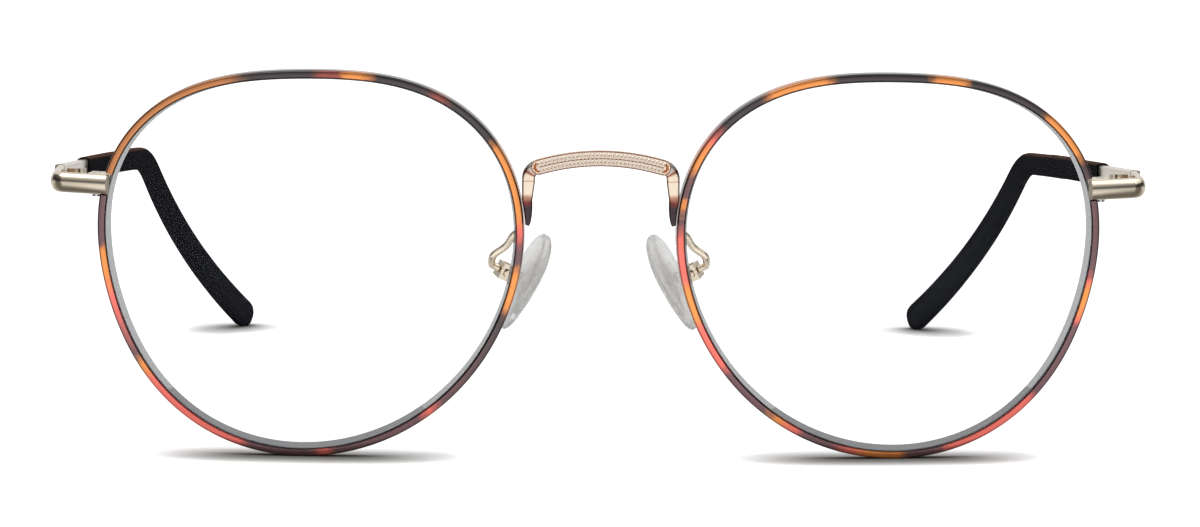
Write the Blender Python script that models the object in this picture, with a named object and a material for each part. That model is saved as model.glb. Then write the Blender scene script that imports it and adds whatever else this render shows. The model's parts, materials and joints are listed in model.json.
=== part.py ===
"""Reading glasses: two wire rims on a beaded bridge, clear lenses, adjustable nose pads, and two
hinged temples that end in drop-bent sleeves.

X runs across the face, +X to the wearer's left. Y runs from the front at -Y to the ear tips at +Y.
Z is up. The glasses stand open on the bottoms of the rims and the tips of the sleeves.

The wearer's left side is modelled piece by piece, and the right side is its mirror image. The front
is drawn upright about a front frame: its Y = 0 touches the middle of the lenses, and its Z = 0 is
the middle height of the lenses. The last step leans that frame until the rims and tips stand level.
"""

import math

import bmesh
import bpy
from mathutils import Euler, Matrix, Vector

MM = 0.001

# Clearances: between pieces that are soldered, glued or screwed tight, and between pieces that turn
SEAT_GAP = 0.10 * MM
RUNNING_GAP = 0.08 * MM
CUT_OVERRUN = 0.50 * MM
WELD_DISTANCE = 0.0001 * MM

# Sides of round pieces, steps of a bar's corner, and the angle that shades as an edge
SCREW_SIDES = 16
KNUCKLE_SIDES = 24
PAD_EYE_SIDES = 20
PAD_BORE_SIDES = 12
CORNER_STEPS = 7
EDGE_ANGLE = math.radians(30)

# Lenses. The outline is a closed curve about the middle of the lens box. Its shares are taken of
# the box: a round with two upper corners and a slightly squared form, turned a little in its plane.
LENS_WIDTH = 50.0 * MM
LENS_HEIGHT = 45.7 * MM
LENS_SPACING = 19.5 * MM
LENS_THICKNESS = 2.0 * MM
LENS_FRONT_RADIUS = 100.0 * MM
LENS_BACK_RADIUS = 99.3 * MM
LENS_WRAP = math.radians(4.5)
BEVEL_HEIGHT = 0.50 * MM
BEVEL_WIDTH = 1.00 * MM
OUTLINE_BROW_SHARE = -0.087
OUTLINE_CORNER_SHARE = 0.039
OUTLINE_LEAN_SHARE = 0.0174
OUTLINE_SQUARE_SHARE = 0.0105
OUTLINE_TURN = math.radians(-5.56)
OUTLINE_STEPS = 56
OUTLINE_BOX_STEPS = 720
LEVEL_ROUNDS = 40
STAND_ROUNDS = 4
LENS_RING_SHARES = (0.30, 0.55, 0.80)

# Rims: a flat wire on edge with a V groove inside it for the lens's bevel
RIM_WALL = 0.55 * MM
RIM_LIP = 0.42 * MM
RIM_DEPTH = 2.00 * MM
RIM_ROUNDING = 0.20 * MM

# Endpieces, from the rim round the corner to the hinge. Their level is a share of half the lens's height.
ENDPIECE_REACH = 6.10 * MM
ENDPIECE_LEVEL_SHARE = 0.398
HINGE_RUN = 5.56 * MM
ENDPIECE_HEIGHT = 2.40 * MM
ENDPIECE_THICKNESS = 1.20 * MM
ENDPIECE_ROUNDING = 0.35 * MM
ENDPIECE_CORNER = 1.70 * MM
ENDPIECE_OVERLAP = 0.35 * MM
ENDPIECE_PROUD = 0.60 * MM

# Rim locks: two blocks behind the endpiece that close the split rim with a screw
LOCK_REACH = 2.40 * MM
LOCK_DEPTH = 1.70 * MM
LOCK_SPLIT = 0.12 * MM
LOCK_SCREW_RADIUS = 0.40 * MM
LOCK_HEAD_RADIUS = 0.65 * MM
LOCK_HEAD_HEIGHT = 0.35 * MM
LOCK_SCREW_SETBACK_SHARE = 0.66

# Bridge: a flat strap with a raised front band, and a tapered leg down the inner side of each rim
BRIDGE_TOP = 14.2 * MM
BRIDGE_RISE = 1.87 * MM
BRIDGE_HALF_WIDTH = 9.35 * MM
BRIDGE_HEIGHT = 1.55 * MM
BRIDGE_DEPTH = 1.50 * MM
BRIDGE_SETBACK = 0.35 * MM
BRIDGE_CORNER = 1.05 * MM
BRIDGE_LEG_FOOT = 5.3 * MM
BRIDGE_LEG_TIP_WIDTH = 0.45 * MM
BRIDGE_LEG_POWER = 0.6
BRIDGE_ROUNDING = 0.25 * MM
BRIDGE_LEG_STEPS = 6
BRIDGE_CORNER_STEPS = 6
BRIDGE_ARCH_STEPS = 24
BAND_HEIGHT = 1.85 * MM
BAND_THICKNESS = 0.35 * MM
BAND_HALF_LENGTH = 8.3 * MM
BAND_RISE = 1.87 * MM
BAND_STEPS = 16
BAND_END_STEPS = 6

# Hinges: two knuckles on the front leaf, one on the temple leaf, and a screw for a pin
HINGE_TILT = math.radians(8.0)
KNUCKLE_RADIUS = 1.15 * MM
KNUCKLE_MIDDLE = 0.80 * MM
KNUCKLE_OUTER = 0.60 * MM
KNUCKLE_DROP = 0.35 * MM
HINGE_PIN_RADIUS = 0.50 * MM
HINGE_HEAD_RADIUS = 0.80 * MM
HINGE_HEAD_HEIGHT = 0.40 * MM
FRONT_LEAF_LENGTH = 3.40 * MM
TEMPLE_LEAF_LENGTH = 5.00 * MM
LEAF_THICKNESS = 0.60 * MM
LEAF_HEIGHT = 1.60 * MM
BUTT_GAP = 0.30 * MM

# Screw slots
SLOT_WIDTH = 0.22 * MM
SLOT_DEPTH = 0.18 * MM

# Temples: a flat metal bar that thins to a core wire from the sleeve's mouth on
TEMPLE_LENGTH = 140.0 * MM
TEMPLE_HEIGHT = 2.40 * MM
TEMPLE_THICKNESS = 1.20 * MM
TEMPLE_ROUNDING = 0.25 * MM
TEMPLE_DROP_START = 90.0 * MM
TEMPLE_DROP_RADIUS = 15.0 * MM
TEMPLE_DROP_ANGLE = math.radians(33.5)
TEMPLE_INSET = 14.8 * MM
TEMPLE_INSET_POWER = 3.5
CORE_TAPER = 4.0 * MM
CORE_WIDTH = 1.00 * MM
CORE_END_MARGIN = 16.0 * MM
LEAD_STEPS = 5
BEND_STEPS = 5
TAIL_STEPS = 6

# Sleeves: drawn by hand along the temple's line, thicker towards the tip
SLEEVE_START = 29.0 * MM
SLEEVE_FRONT_HEIGHT = 3.00 * MM
SLEEVE_FRONT_WIDTH = 2.10 * MM
SLEEVE_DROP_HEIGHT = 3.10 * MM
SLEEVE_DROP_WIDTH = 2.40 * MM
SLEEVE_TIP_HEIGHT = 4.00 * MM
SLEEVE_TIP_WIDTH = 2.60 * MM
SLEEVE_END_ROUND = 2.20 * MM
SLEEVE_END_TURNS = (math.radians(25), math.radians(50), math.radians(70))
SLEEVE_SQUARENESS_POWER = 3
SLEEVE_POINTS = 12
SLEEVE_LEAD_STEPS = 6
SLEEVE_TAIL_STEPS = 7

# Nose pads: each rocks on a screw in a small box at the end of a looped wire arm
PAD_PIVOT_SPREAD = 11.4 * MM
PAD_PIVOT_SETBACK = 7.6 * MM
PAD_PIVOT_DROP = 1.6 * MM
PAD_SPLAY = math.radians(22.0)
PAD_SLANT = math.radians(27.0)
PAD_LENGTH = 12.6 * MM
PAD_WIDTH = 5.6 * MM
PAD_THICKNESS = 1.8 * MM
PAD_STANDOFF = 2.40 * MM
PAD_DROP = 0.20 * MM
PAD_NARROWING_SHARE = 0.36
PAD_OUTLINE_SHARES = (0.80, 0.95, 1.00, 0.96, 0.80, 0.50)
PAD_DEPTH_SHARES = (0.00, 0.12, 0.35, 0.62, 0.85, 0.97)
PAD_POINTS = 28
PAD_BOX_REACH = 0.90 * MM
PAD_BOX_WIDTH = 1.90 * MM
PAD_BOX_HEIGHT = 1.90 * MM
PAD_TONGUE_THICKNESS = 0.70 * MM
PAD_TONGUE_HEIGHT = 1.10 * MM
PAD_FLANGE_THICKNESS = 0.50 * MM
PAD_FLANGE_LENGTH = 4.00 * MM
PAD_FLANGE_WIDTH = 2.20 * MM
PAD_FLANGE_DEPTH = 0.60 * MM
PAD_SCREW_RADIUS = 0.30 * MM
PAD_HEAD_RADIUS = 0.52 * MM
PAD_HEAD_HEIGHT = 0.30 * MM

# Pad arms: the wire leaves the back of the rim, loops out behind the lens and comes back to the box
ARM_RADIUS = 0.45 * MM
ARM_FOOT_LEVEL = 4.3 * MM
ARM_LOOP_WIDTH = 1.10 * MM
ARM_STEPS = 5

# The arm's route: shares of the way across, back and down from its foot to the pad's screw. The way
# across goes on past the screw by the loop's width, where its share is 1.
ARM_ROUTE_SHARES = ((0.33, 0.30, 0.15), (0.62, 0.50, 0.40), (1.10, 0.66, 0.62))

ROSE_GOLD = (0.83, 0.58, 0.44, 1.0)
PALE_GOLD = (0.80, 0.70, 0.56, 1.0)
STEEL = (0.62, 0.61, 0.60, 1.0)
TORTOISE = (0.22, 0.07, 0.05, 1.0)
DARK_ACETATE = (0.020, 0.014, 0.013, 1.0)
CLEAR = (0.86, 0.89, 0.90, 1.0)
SILICONE = (0.80, 0.80, 0.78, 1.0)


def clear_scene():
    """Remove every object, so that the script can be run again in the same file."""
    for obj in list(bpy.data.objects):
        bpy.data.objects.remove(obj, do_unlink=True)


def make_material(name, color, metallic, roughness, alpha=1.0):
    """A Principled material of one colour."""
    material = bpy.data.materials.new(name)
    material.use_nodes = True
    shader = material.node_tree.nodes["Principled BSDF"]
    shader.inputs["Base Color"].default_value = color
    shader.inputs["Metallic"].default_value = metallic
    shader.inputs["Roughness"].default_value = roughness
    shader.inputs["Alpha"].default_value = alpha
    material.diffuse_color = (*color[:3], alpha)
    return material


def make_empty(name, parent, location=(0, 0, 0), rotation=(0, 0, 0), order="XYZ"):
    """A guide that places the pieces parented to it."""
    empty = bpy.data.objects.new(name, None)
    empty.empty_display_size = LENS_SPACING
    empty.location = location
    empty.rotation_mode = order
    empty.rotation_euler = Euler(rotation, order)
    empty.parent = parent
    bpy.context.scene.collection.objects.link(empty)
    return empty


def mirrored_empty(name, empty):
    """The guide on the other side of the face."""
    x, y, z = empty.location
    turn_x, turn_y, turn_z = empty.rotation_euler
    return make_empty(name, empty.parent, (-x, y, z), (turn_x, -turn_y, -turn_z), empty.rotation_mode)


def add_object(name, mesh, parent):
    """Put a mesh into the parts collection, drawn in its parent's frame."""
    obj = bpy.data.objects.new(name, mesh)
    obj.parent = parent
    parts.objects.link(obj)
    return obj


def bake(obj):
    """Turn an object with modifiers, or a curve, into a plain welded mesh."""
    bpy.context.view_layer.update()
    evaluated = obj.evaluated_get(bpy.context.evaluated_depsgraph_get())
    mesh = bpy.data.meshes.new_from_object(evaluated)
    work = bmesh.new()
    work.from_mesh(mesh)
    bmesh.ops.remove_doubles(work, verts=work.verts, dist=WELD_DISTANCE)
    bmesh.ops.recalc_face_normals(work, faces=work.faces)
    work.to_mesh(mesh)
    work.free()
    name, parent = obj.name, obj.parent
    bpy.data.objects.remove(obj)
    mesh.name = name
    return add_object(name, mesh, parent)


def combine(target, tool, operation):
    """Cut a tool out of a piece with DIFFERENCE, or add it with UNION, and remove the tool."""
    cutters.objects.link(tool)
    parts.objects.unlink(tool)
    tool.hide_render = True
    tool.display_type = "WIRE"
    modifier = target.modifiers.new(operation.title(), "BOOLEAN")
    modifier.operation = operation
    modifier.object = tool
    piece = bake(target)
    bpy.data.objects.remove(tool)
    return piece


def make_box(name, parent, low, high):
    """A block between two opposite corners."""
    low, high = Vector(low), Vector(high)
    work = bmesh.new()
    placing = Matrix.Translation((low + high) / 2) @ Matrix.Diagonal((*(high - low), 1))
    bmesh.ops.create_cube(work, size=1, matrix=placing)
    mesh = bpy.data.meshes.new(name)
    work.to_mesh(mesh)
    work.free()
    return add_object(name, mesh, parent)


def make_cylinder(name, parent, radius, start, end, sides=SCREW_SIDES):
    """A round bar from one point to another."""
    start, end = Vector(start), Vector(end)
    turn = (end - start).to_track_quat("Z", "Y").to_matrix().to_4x4()
    work = bmesh.new()
    bmesh.ops.create_cone(
        work, cap_ends=True, segments=sides, radius1=radius, radius2=radius,
        depth=(end - start).length, matrix=Matrix.Translation((start + end) / 2) @ turn,
    )
    mesh = bpy.data.meshes.new(name)
    work.to_mesh(mesh)
    work.free()
    return add_object(name, mesh, parent)


def make_loft(name, parent, rings):
    """A solid through rings of equal count that differ in size or form, closed at both ends."""
    work = bmesh.new()
    rows = [[work.verts.new(point) for point in ring] for ring in rings]
    for row, following in zip(rows, rows[1:]):
        for index in range(len(row)):
            after = (index + 1) % len(row)
            work.faces.new((row[index], row[after], following[after], following[index]))
    work.faces.new(rows[0])
    work.faces.new(rows[-1])
    bmesh.ops.recalc_face_normals(work, faces=work.faces)
    mesh = bpy.data.meshes.new(name)
    work.to_mesh(mesh)
    work.free()
    return add_object(name, mesh, parent)


def make_poly_curve(name, points, cyclic):
    """A curve of straight steps."""
    curve = bpy.data.curves.new(name, "CURVE")
    curve.dimensions = "3D"
    curve.use_fill_caps = not cyclic
    spline = curve.splines.new("POLY")
    spline.points.add(len(points) - 1)
    for slot, point in zip(spline.points, points):
        slot.co = (*point, 1)
    spline.use_cyclic_u = cyclic
    return curve


def make_sweep(name, parent, path, profile, cyclic=False):
    """Sweep a profile along a path that runs anticlockwise, nearly flat, in its frame's XY plane.

    The profile's first coordinate points out of the path's curve, and its second one along +Z.
    """
    outline = make_poly_curve(name + "_profile", [(across, up, 0) for across, up in profile], True)
    outline.dimensions = "2D"
    guide = bpy.data.objects.new(name + "_profile", outline)
    cutters.objects.link(guide)
    curve = make_poly_curve(name, path, cyclic)
    curve.twist_mode = "Z_UP"
    curve.bevel_mode = "OBJECT"
    curve.bevel_object = guide
    piece = bake(add_object(name, curve, parent))
    bpy.data.objects.remove(guide)
    return piece


def chamfered(half_width, half_height, rounding):
    """A rectangle with cut corners, as (across, up) pairs."""
    corners = []
    for side, level in ((1, 1), (-1, 1), (-1, -1), (1, -1)):
        pair = [
            (side * half_width, level * (half_height - rounding)),
            (side * (half_width - rounding), level * half_height),
        ]
        corners += pair if side * level > 0 else pair[::-1]
    return corners


def rounded_corner(start, corner, end, radius):
    """A path of two straight runs joined by an arc of the radius."""
    start, corner, end = Vector(start), Vector(corner), Vector(end)
    inward, outward = (start - corner).normalized(), (end - corner).normalized()
    half_angle = inward.angle(outward) / 2
    centre = corner + (inward + outward).normalized() * radius / math.sin(half_angle)
    first = corner + inward * radius / math.tan(half_angle)
    last = corner + outward * radius / math.tan(half_angle)
    first_spoke, last_spoke = (first - centre).normalized(), (last - centre).normalized()
    arc = []
    for step in range(CORNER_STEPS + 1):
        arc.append(centre + first_spoke.slerp(last_spoke, step / CORNER_STEPS) * radius)
    return [start, *arc, end]


def outline_form(angle):
    """A point of the outline as drawn, before it is fitted to the lens's box."""
    reach = (
        1
        + OUTLINE_BROW_SHARE * math.sin(angle)
        + OUTLINE_CORNER_SHARE * math.sin(3 * angle)
        - OUTLINE_LEAN_SHARE * math.cos(3 * angle)
        - OUTLINE_SQUARE_SHARE * math.cos(4 * angle)
    )
    point = Vector((reach * math.cos(angle), reach * math.sin(angle) * LENS_HEIGHT / LENS_WIDTH))
    return Matrix.Rotation(OUTLINE_TURN, 2) @ point


def outline_box():
    """The low and high corners of the box round the outline as drawn."""
    points = [outline_form(2 * math.pi * step / OUTLINE_BOX_STEPS) for step in range(OUTLINE_BOX_STEPS)]
    low = Vector((min(point.x for point in points), min(point.y for point in points)))
    high = Vector((max(point.x for point in points), max(point.y for point in points)))
    return low, high


def outline_point(angle, inset=0.0):
    """A point of the lens's edge in the lens plane, or of its offset curve inside it."""
    low, high = drawn_box

    def edge(at):
        place = outline_form(at) - (low + high) / 2
        return Vector((place.x * LENS_WIDTH / (high.x - low.x), place.y * LENS_HEIGHT / (high.y - low.y)))

    step = math.pi / (4 * OUTLINE_STEPS)
    along = (edge(angle + step) - edge(angle - step)).normalized()
    return edge(angle) + inset * Vector((-along.y, along.x))


def outline_angles():
    """The angles at which the rim and the lens share their corners."""
    return [2 * math.pi * step / OUTLINE_STEPS for step in range(OUTLINE_STEPS)]


def sag(radius, x, y):
    """How far a sphere of the radius has fallen back at a distance from its top."""
    return radius - math.sqrt(radius ** 2 - x ** 2 - y ** 2)


def lens_front(x, y):
    """Height of the lens's front surface over the lens plane."""
    return LENS_THICKNESS / 2 - sag(LENS_FRONT_RADIUS, x, y)


def lens_back(x, y):
    """Height of the lens's back surface over the lens plane."""
    return -LENS_THICKNESS / 2 - sag(LENS_BACK_RADIUS, x, y)


def lens_middle(x, y):
    """Height halfway through the lens, where the bevel and the rim's groove run."""
    return (lens_front(x, y) + lens_back(x, y)) / 2


def edge_path():
    """The crest of the lens's bevel, once round, in the eye frame."""
    corners = [outline_point(angle) for angle in outline_angles()]
    return [Vector((x, y, lens_middle(x, y))) for x, y in corners]


def temple_side_angle(level):
    """The angle on the temple side at which the lens's edge stands at a height."""
    return angle_at_level(level, -math.pi / 4, math.pi / 4)


def nose_side_angle(level):
    """The angle on the nose side at which the lens's edge stands at a height."""
    return angle_at_level(level, math.pi * 5 / 4, math.pi * 3 / 4)


def angle_at_level(level, low, high):
    """The angle, between one below the height and one above it, where the lens's edge meets it."""
    for _ in range(LEVEL_ROUNDS):
        middle = (low + high) / 2
        if outline_point(middle).y < level:
            low = middle
        else:
            high = middle
    return (low + high) / 2


def make_lens(eye):
    """A meniscus with a V ground round its edge."""
    def ring(share, inset, height):
        points = [outline_point(angle, inset) * share for angle in outline_angles()]
        return [Vector((x, y, height(x, y))) for x, y in points]

    half_v = BEVEL_WIDTH / 2
    rings = [ring(share, BEVEL_HEIGHT, lens_front) for share in LENS_RING_SHARES]
    rings += [
        ring(1, BEVEL_HEIGHT, lens_front),
        ring(1, BEVEL_HEIGHT, lambda x, y: lens_middle(x, y) + half_v),
        ring(1, 0, lens_middle),
        ring(1, BEVEL_HEIGHT, lambda x, y: lens_middle(x, y) - half_v),
        ring(1, BEVEL_HEIGHT, lens_back),
    ]
    rings += [ring(share, BEVEL_HEIGHT, lens_back) for share in reversed(LENS_RING_SHARES)]
    return make_loft("left_lens", eye, rings)


def make_rim(eye, slot_half_height):
    """The grooved wire once round the lens, split behind the endpiece where the rim locks sit."""
    half_depth = RIM_DEPTH / 2
    groove_half = (RIM_LIP + SEAT_GAP) * BEVEL_WIDTH / (2 * BEVEL_HEIGHT)
    profile = [
        (-RIM_LIP, groove_half),
        (-RIM_LIP, half_depth - RIM_ROUNDING),
        (-RIM_LIP + RIM_ROUNDING, half_depth),
        (RIM_WALL - RIM_ROUNDING, half_depth),
        (RIM_WALL, half_depth - RIM_ROUNDING),
        (RIM_WALL, -half_depth + RIM_ROUNDING),
        (RIM_WALL - RIM_ROUNDING, -half_depth),
        (-RIM_LIP + RIM_ROUNDING, -half_depth),
        (-RIM_LIP, -half_depth + RIM_ROUNDING),
        (-RIM_LIP, -groove_half),
        (SEAT_GAP, 0),
    ]
    rim = make_sweep("left_rim", eye, edge_path(), profile, cyclic=True)
    reach = LENS_WIDTH / 2 + RIM_WALL + CUT_OVERRUN
    level = endpiece_level()
    depth = lens_middle(LENS_WIDTH / 2, level)
    slot = make_box(
        "rim_slot", eye,
        (LENS_WIDTH / 4, level - slot_half_height, depth - RIM_DEPTH),
        (reach, level + slot_half_height, depth + RIM_DEPTH),
    )
    return combine(rim, slot, "DIFFERENCE")


def make_screw(name, parent, radius, head_radius, head_height, under_head, tip):
    """A slotted screw whose head stands over a point, on the side away from its tip."""
    under_head, tip = Vector(under_head), Vector(tip)
    up = (under_head - tip).normalized()
    top = under_head + up * head_height
    screw = make_cylinder(name, parent, head_radius, under_head, top)
    shank = make_cylinder("shank", parent, radius, tip, under_head + up * head_height / 2)
    screw = combine(screw, shank, "UNION")
    turn = up.to_track_quat("Z", "Y").to_matrix().to_4x4()
    slot = make_box(
        "slot", parent,
        (-head_radius - CUT_OVERRUN, -SLOT_WIDTH / 2, -SLOT_DEPTH),
        (head_radius + CUT_OVERRUN, SLOT_WIDTH / 2, CUT_OVERRUN),
    )
    slot.data.transform(Matrix.Translation(top) @ turn)
    return combine(screw, slot, "DIFFERENCE")


def make_lock(lock, sign, name):
    """One half of the rim lock, above or below the split, bored for the screw."""
    inner, outer = LOCK_SPLIT / 2, ENDPIECE_HEIGHT / 2
    levels = sorted((sign * inner, sign * outer))
    block = make_box(
        name, lock,
        (2 * SEAT_GAP, SEAT_GAP, levels[0]),
        (LOCK_REACH, LOCK_DEPTH, levels[1]),
    )
    x, y = lock_screw_place()
    bore = make_cylinder(
        "bore", lock, LOCK_SCREW_RADIUS + RUNNING_GAP,
        (x, y, levels[0] - CUT_OVERRUN), (x, y, levels[1] + CUT_OVERRUN),
    )
    return combine(block, bore, "DIFFERENCE")


def lock_screw_place():
    """The lock screw's axis in the lock frame."""
    return LOCK_REACH * LOCK_SCREW_SETBACK_SHARE, (SEAT_GAP + LOCK_DEPTH) / 2


def endpiece_level():
    """Height of the endpieces and hinges over the middle of the lenses."""
    return ENDPIECE_LEVEL_SHARE * LENS_HEIGHT / 2


def frame_half_width():
    """Distance from the middle plane to the outer face of an endpiece and its temple."""
    return LENS_SPACING / 2 + LENS_WIDTH + ENDPIECE_REACH


def endpiece_line(lock):
    """Where the endpiece's middle line starts, and its corner before rounding, in the front frame."""
    bpy.context.view_layer.update()
    to_front = front.matrix_world.inverted() @ lock.matrix_world
    start = to_front @ Vector((-ENDPIECE_OVERLAP, -ENDPIECE_THICKNESS / 2, 0))
    ahead = to_front.to_3x3() @ Vector((1, 0, 0))
    side_x = frame_half_width() - ENDPIECE_THICKNESS / 2
    return start, start + ahead * (side_x - start.x) / ahead.x


def make_endpiece(lock, hinge):
    """The bar that covers the rim lock, turns the corner and ends at the hinge."""
    start, corner = endpiece_line(lock)
    end = Vector((corner.x, hinge.location.y - BUTT_GAP, start.z))
    path = rounded_corner(start, corner, end, ENDPIECE_CORNER)
    section = chamfered(ENDPIECE_THICKNESS / 2, ENDPIECE_HEIGHT / 2, ENDPIECE_ROUNDING)
    return make_sweep("left_endpiece", front, path, section)


def bridge_path():
    """The strap's middle line from one leg's foot to the other, as (x, z, width) triples."""
    leg_top = BRIDGE_TOP - BRIDGE_RISE - BRIDGE_HEIGHT / 2 - BRIDGE_CORNER
    half = []
    for step in range(BRIDGE_LEG_STEPS + 1):
        share = step / BRIDGE_LEG_STEPS
        level = BRIDGE_LEG_FOOT + share * (leg_top - BRIDGE_LEG_FOOT)
        growth = share ** BRIDGE_LEG_POWER
        width = BRIDGE_LEG_TIP_WIDTH + growth * (BRIDGE_HEIGHT - BRIDGE_LEG_TIP_WIDTH)
        outer = min(BRIDGE_HALF_WIDTH, rim_outside(level) - SEAT_GAP)
        half.append((outer - width / 2, level, width))
    centre_x = half[-1][0] - BRIDGE_CORNER
    for step in range(1, BRIDGE_CORNER_STEPS + 1):
        turn = math.pi / 2 * step / BRIDGE_CORNER_STEPS
        x = centre_x + BRIDGE_CORNER * math.cos(turn)
        half.append((x, leg_top + BRIDGE_CORNER * math.sin(turn) + arch_rise(x), BRIDGE_HEIGHT))
    for step in range(1, BRIDGE_ARCH_STEPS // 2 + 1):
        x = centre_x * (1 - 2 * step / BRIDGE_ARCH_STEPS)
        half.append((x, leg_top + BRIDGE_CORNER + arch_rise(x), BRIDGE_HEIGHT))
    return half + [(-x, z, width) for x, z, width in reversed(half[:-1])]


def arch_rise(x):
    """How far the bridge's arch stands over its shoulders at a distance from the middle."""
    half_span = LENS_SPACING / 2
    return BRIDGE_RISE * max(0.0, 1 - (x / half_span) ** 2)


def rim_outside(level):
    """Distance from the middle plane to the rim's outer wall beside the nose, at a height."""
    x, y = outline_point(nose_side_angle(level), -RIM_WALL)
    middle = lens_middle(x, y)
    edges = [Vector((x, y, middle + side * RIM_DEPTH / 2)) for side in (1, 0)]
    return min((left_eye.matrix_basis @ edge).x for edge in edges)


def make_bridge():
    """The strap and legs, with the raised band for the beading on the front of the arch."""
    path = bridge_path()
    rings = []
    half_depth = BRIDGE_DEPTH / 2
    for index, (x, z, width) in enumerate(path):
        before = path[max(index - 1, 0)]
        after = path[min(index + 1, len(path) - 1)]
        along = Vector((after[0] - before[0], after[1] - before[1])).normalized()
        rounding = min(BRIDGE_ROUNDING, width / 4)
        ring = []
        for across, depth in chamfered(width / 2, half_depth, rounding):
            ring.append(Vector((x - along.y * across, BRIDGE_SETBACK + depth, z + along.x * across)))
        rings.append(ring)
    strap = make_loft("bridge", front, rings)
    band = make_band()
    return combine(strap, band, "UNION")


def band_outline():
    """The raised band's outline, anticlockwise: an arc of even height with round ends."""
    half, half_span = BAND_HEIGHT / 2, LENS_SPACING / 2
    reach = BAND_HALF_LENGTH - half

    def edge(x, turn):
        level = BRIDGE_TOP - BRIDGE_HEIGHT / 2 - BAND_RISE * (x / half_span) ** 2
        turn += math.atan(-2 * BAND_RISE * x / half_span ** 2)
        return x + half * math.cos(turn), level + half * math.sin(turn)

    quarter = math.pi / 2
    top = [edge(reach * (1 - 2 * step / BAND_STEPS), quarter) for step in range(BAND_STEPS + 1)]
    bottom = [edge(reach * (2 * step / BAND_STEPS - 1), -quarter) for step in range(BAND_STEPS + 1)]
    turns = [math.pi * step / BAND_END_STEPS for step in range(1, BAND_END_STEPS)]
    left_end = [edge(-reach, quarter + turn) for turn in turns]
    right_end = [edge(reach, turn - quarter) for turn in turns]
    return [*top, *left_end, *bottom, *right_end]


def make_band():
    """The raised band on the arch, which carries the beading."""
    curve = make_poly_curve("band", [(x, z, 0) for x, z in band_outline()], True)
    curve.dimensions = "2D"
    curve.fill_mode = "BOTH"
    curve.extrude = (BAND_THICKNESS + BRIDGE_ROUNDING) / 2
    band = bake(add_object("band", curve, front))
    front_face = BRIDGE_SETBACK - BRIDGE_DEPTH / 2
    middle = front_face - BAND_THICKNESS + (BAND_THICKNESS + BRIDGE_ROUNDING) / 2
    band.data.transform(Matrix.Translation((0, middle, 0)) @ Matrix.Rotation(math.pi / 2, 4, "X"))
    return band


def hinge_plate_x():
    """Where the leaves' outer faces lie in the hinge frame, against the endpiece and temple."""
    return KNUCKLE_RADIUS + 2 * SEAT_GAP


def hinge_pin_x():
    """Distance from the middle plane to the hinge pin."""
    return frame_half_width() - TEMPLE_THICKNESS - SEAT_GAP - hinge_plate_x()


def make_leaf(name, hinge, sign, length, knuckles):
    """A hinge leaf: a plate along the bar, and necks that carry the given knuckles."""
    outer = hinge_plate_x()
    inner = outer - LEAF_THICKNESS
    clear = KNUCKLE_RADIUS + 2 * RUNNING_GAP
    ends = sorted((sign * clear, sign * length))
    low_side, high_side = -KNUCKLE_DROP - LEAF_HEIGHT / 2, LEAF_HEIGHT / 2 - KNUCKLE_DROP
    leaf = make_box(
        name, hinge,
        (inner, ends[0], low_side), (outer, ends[1], high_side),
    )
    for low, high in knuckles:
        barrel = make_cylinder(
            "barrel", hinge, KNUCKLE_RADIUS, (0, 0, low), (0, 0, high), KNUCKLE_SIDES,
        )
        neck_ends = sorted((0, sign * (clear + LEAF_THICKNESS)))
        neck = make_box(
            "neck", hinge,
            (inner, neck_ends[0], max(low, low_side)), (outer, neck_ends[1], min(high, high_side)),
        )
        leaf = combine(leaf, combine(barrel, neck, "UNION"), "UNION")
    overall = KNUCKLE_MIDDLE + RUNNING_GAP + KNUCKLE_OUTER + KNUCKLE_DROP + CUT_OVERRUN
    bore = make_cylinder(
        "bore", hinge, HINGE_PIN_RADIUS + RUNNING_GAP, (0, 0, -overall), (0, 0, overall),
    )
    return combine(leaf, bore, "DIFFERENCE")


def make_hinge(hinge):
    """Both leaves and the screw that pins them."""
    middle = (-KNUCKLE_DROP - KNUCKLE_MIDDLE / 2, KNUCKLE_MIDDLE / 2 - KNUCKLE_DROP)
    upper = (middle[1] + RUNNING_GAP, middle[1] + RUNNING_GAP + KNUCKLE_OUTER)
    lower = (middle[0] - RUNNING_GAP - KNUCKLE_OUTER, middle[0] - RUNNING_GAP)
    return [
        make_leaf("left_hinge_front_leaf", hinge, -1, FRONT_LEAF_LENGTH, (lower, upper)),
        make_leaf("left_hinge_temple_leaf", hinge, 1, TEMPLE_LEAF_LENGTH, (middle,)),
        make_screw(
            "left_hinge_screw", hinge, HINGE_PIN_RADIUS, HINGE_HEAD_RADIUS, HINGE_HEAD_HEIGHT,
            (0, 0, lower[0] - SEAT_GAP), (0, 0, upper[1]),
        ),
    ]


def temple_point(distance):
    """The temple's middle line at a distance along it from the hinge, in the hinge frame."""
    arc = TEMPLE_DROP_RADIUS * TEMPLE_DROP_ANGLE
    on_arc = min(max(distance - TEMPLE_DROP_START, 0.0), arc) / TEMPLE_DROP_RADIUS
    straight = max(distance - TEMPLE_DROP_START - arc, 0.0)
    back = (
        min(distance, TEMPLE_DROP_START)
        + TEMPLE_DROP_RADIUS * math.sin(on_arc)
        + straight * math.cos(TEMPLE_DROP_ANGLE)
    )
    down = TEMPLE_DROP_RADIUS * (1 - math.cos(on_arc)) + straight * math.sin(TEMPLE_DROP_ANGLE)
    past = max(distance - SLEEVE_START, 0.0) / (TEMPLE_LENGTH - SLEEVE_START)
    centre = hinge_plate_x() + SEAT_GAP + TEMPLE_THICKNESS / 2
    return Vector((centre - TEMPLE_INSET * past ** TEMPLE_INSET_POWER, back, -down))


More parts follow.
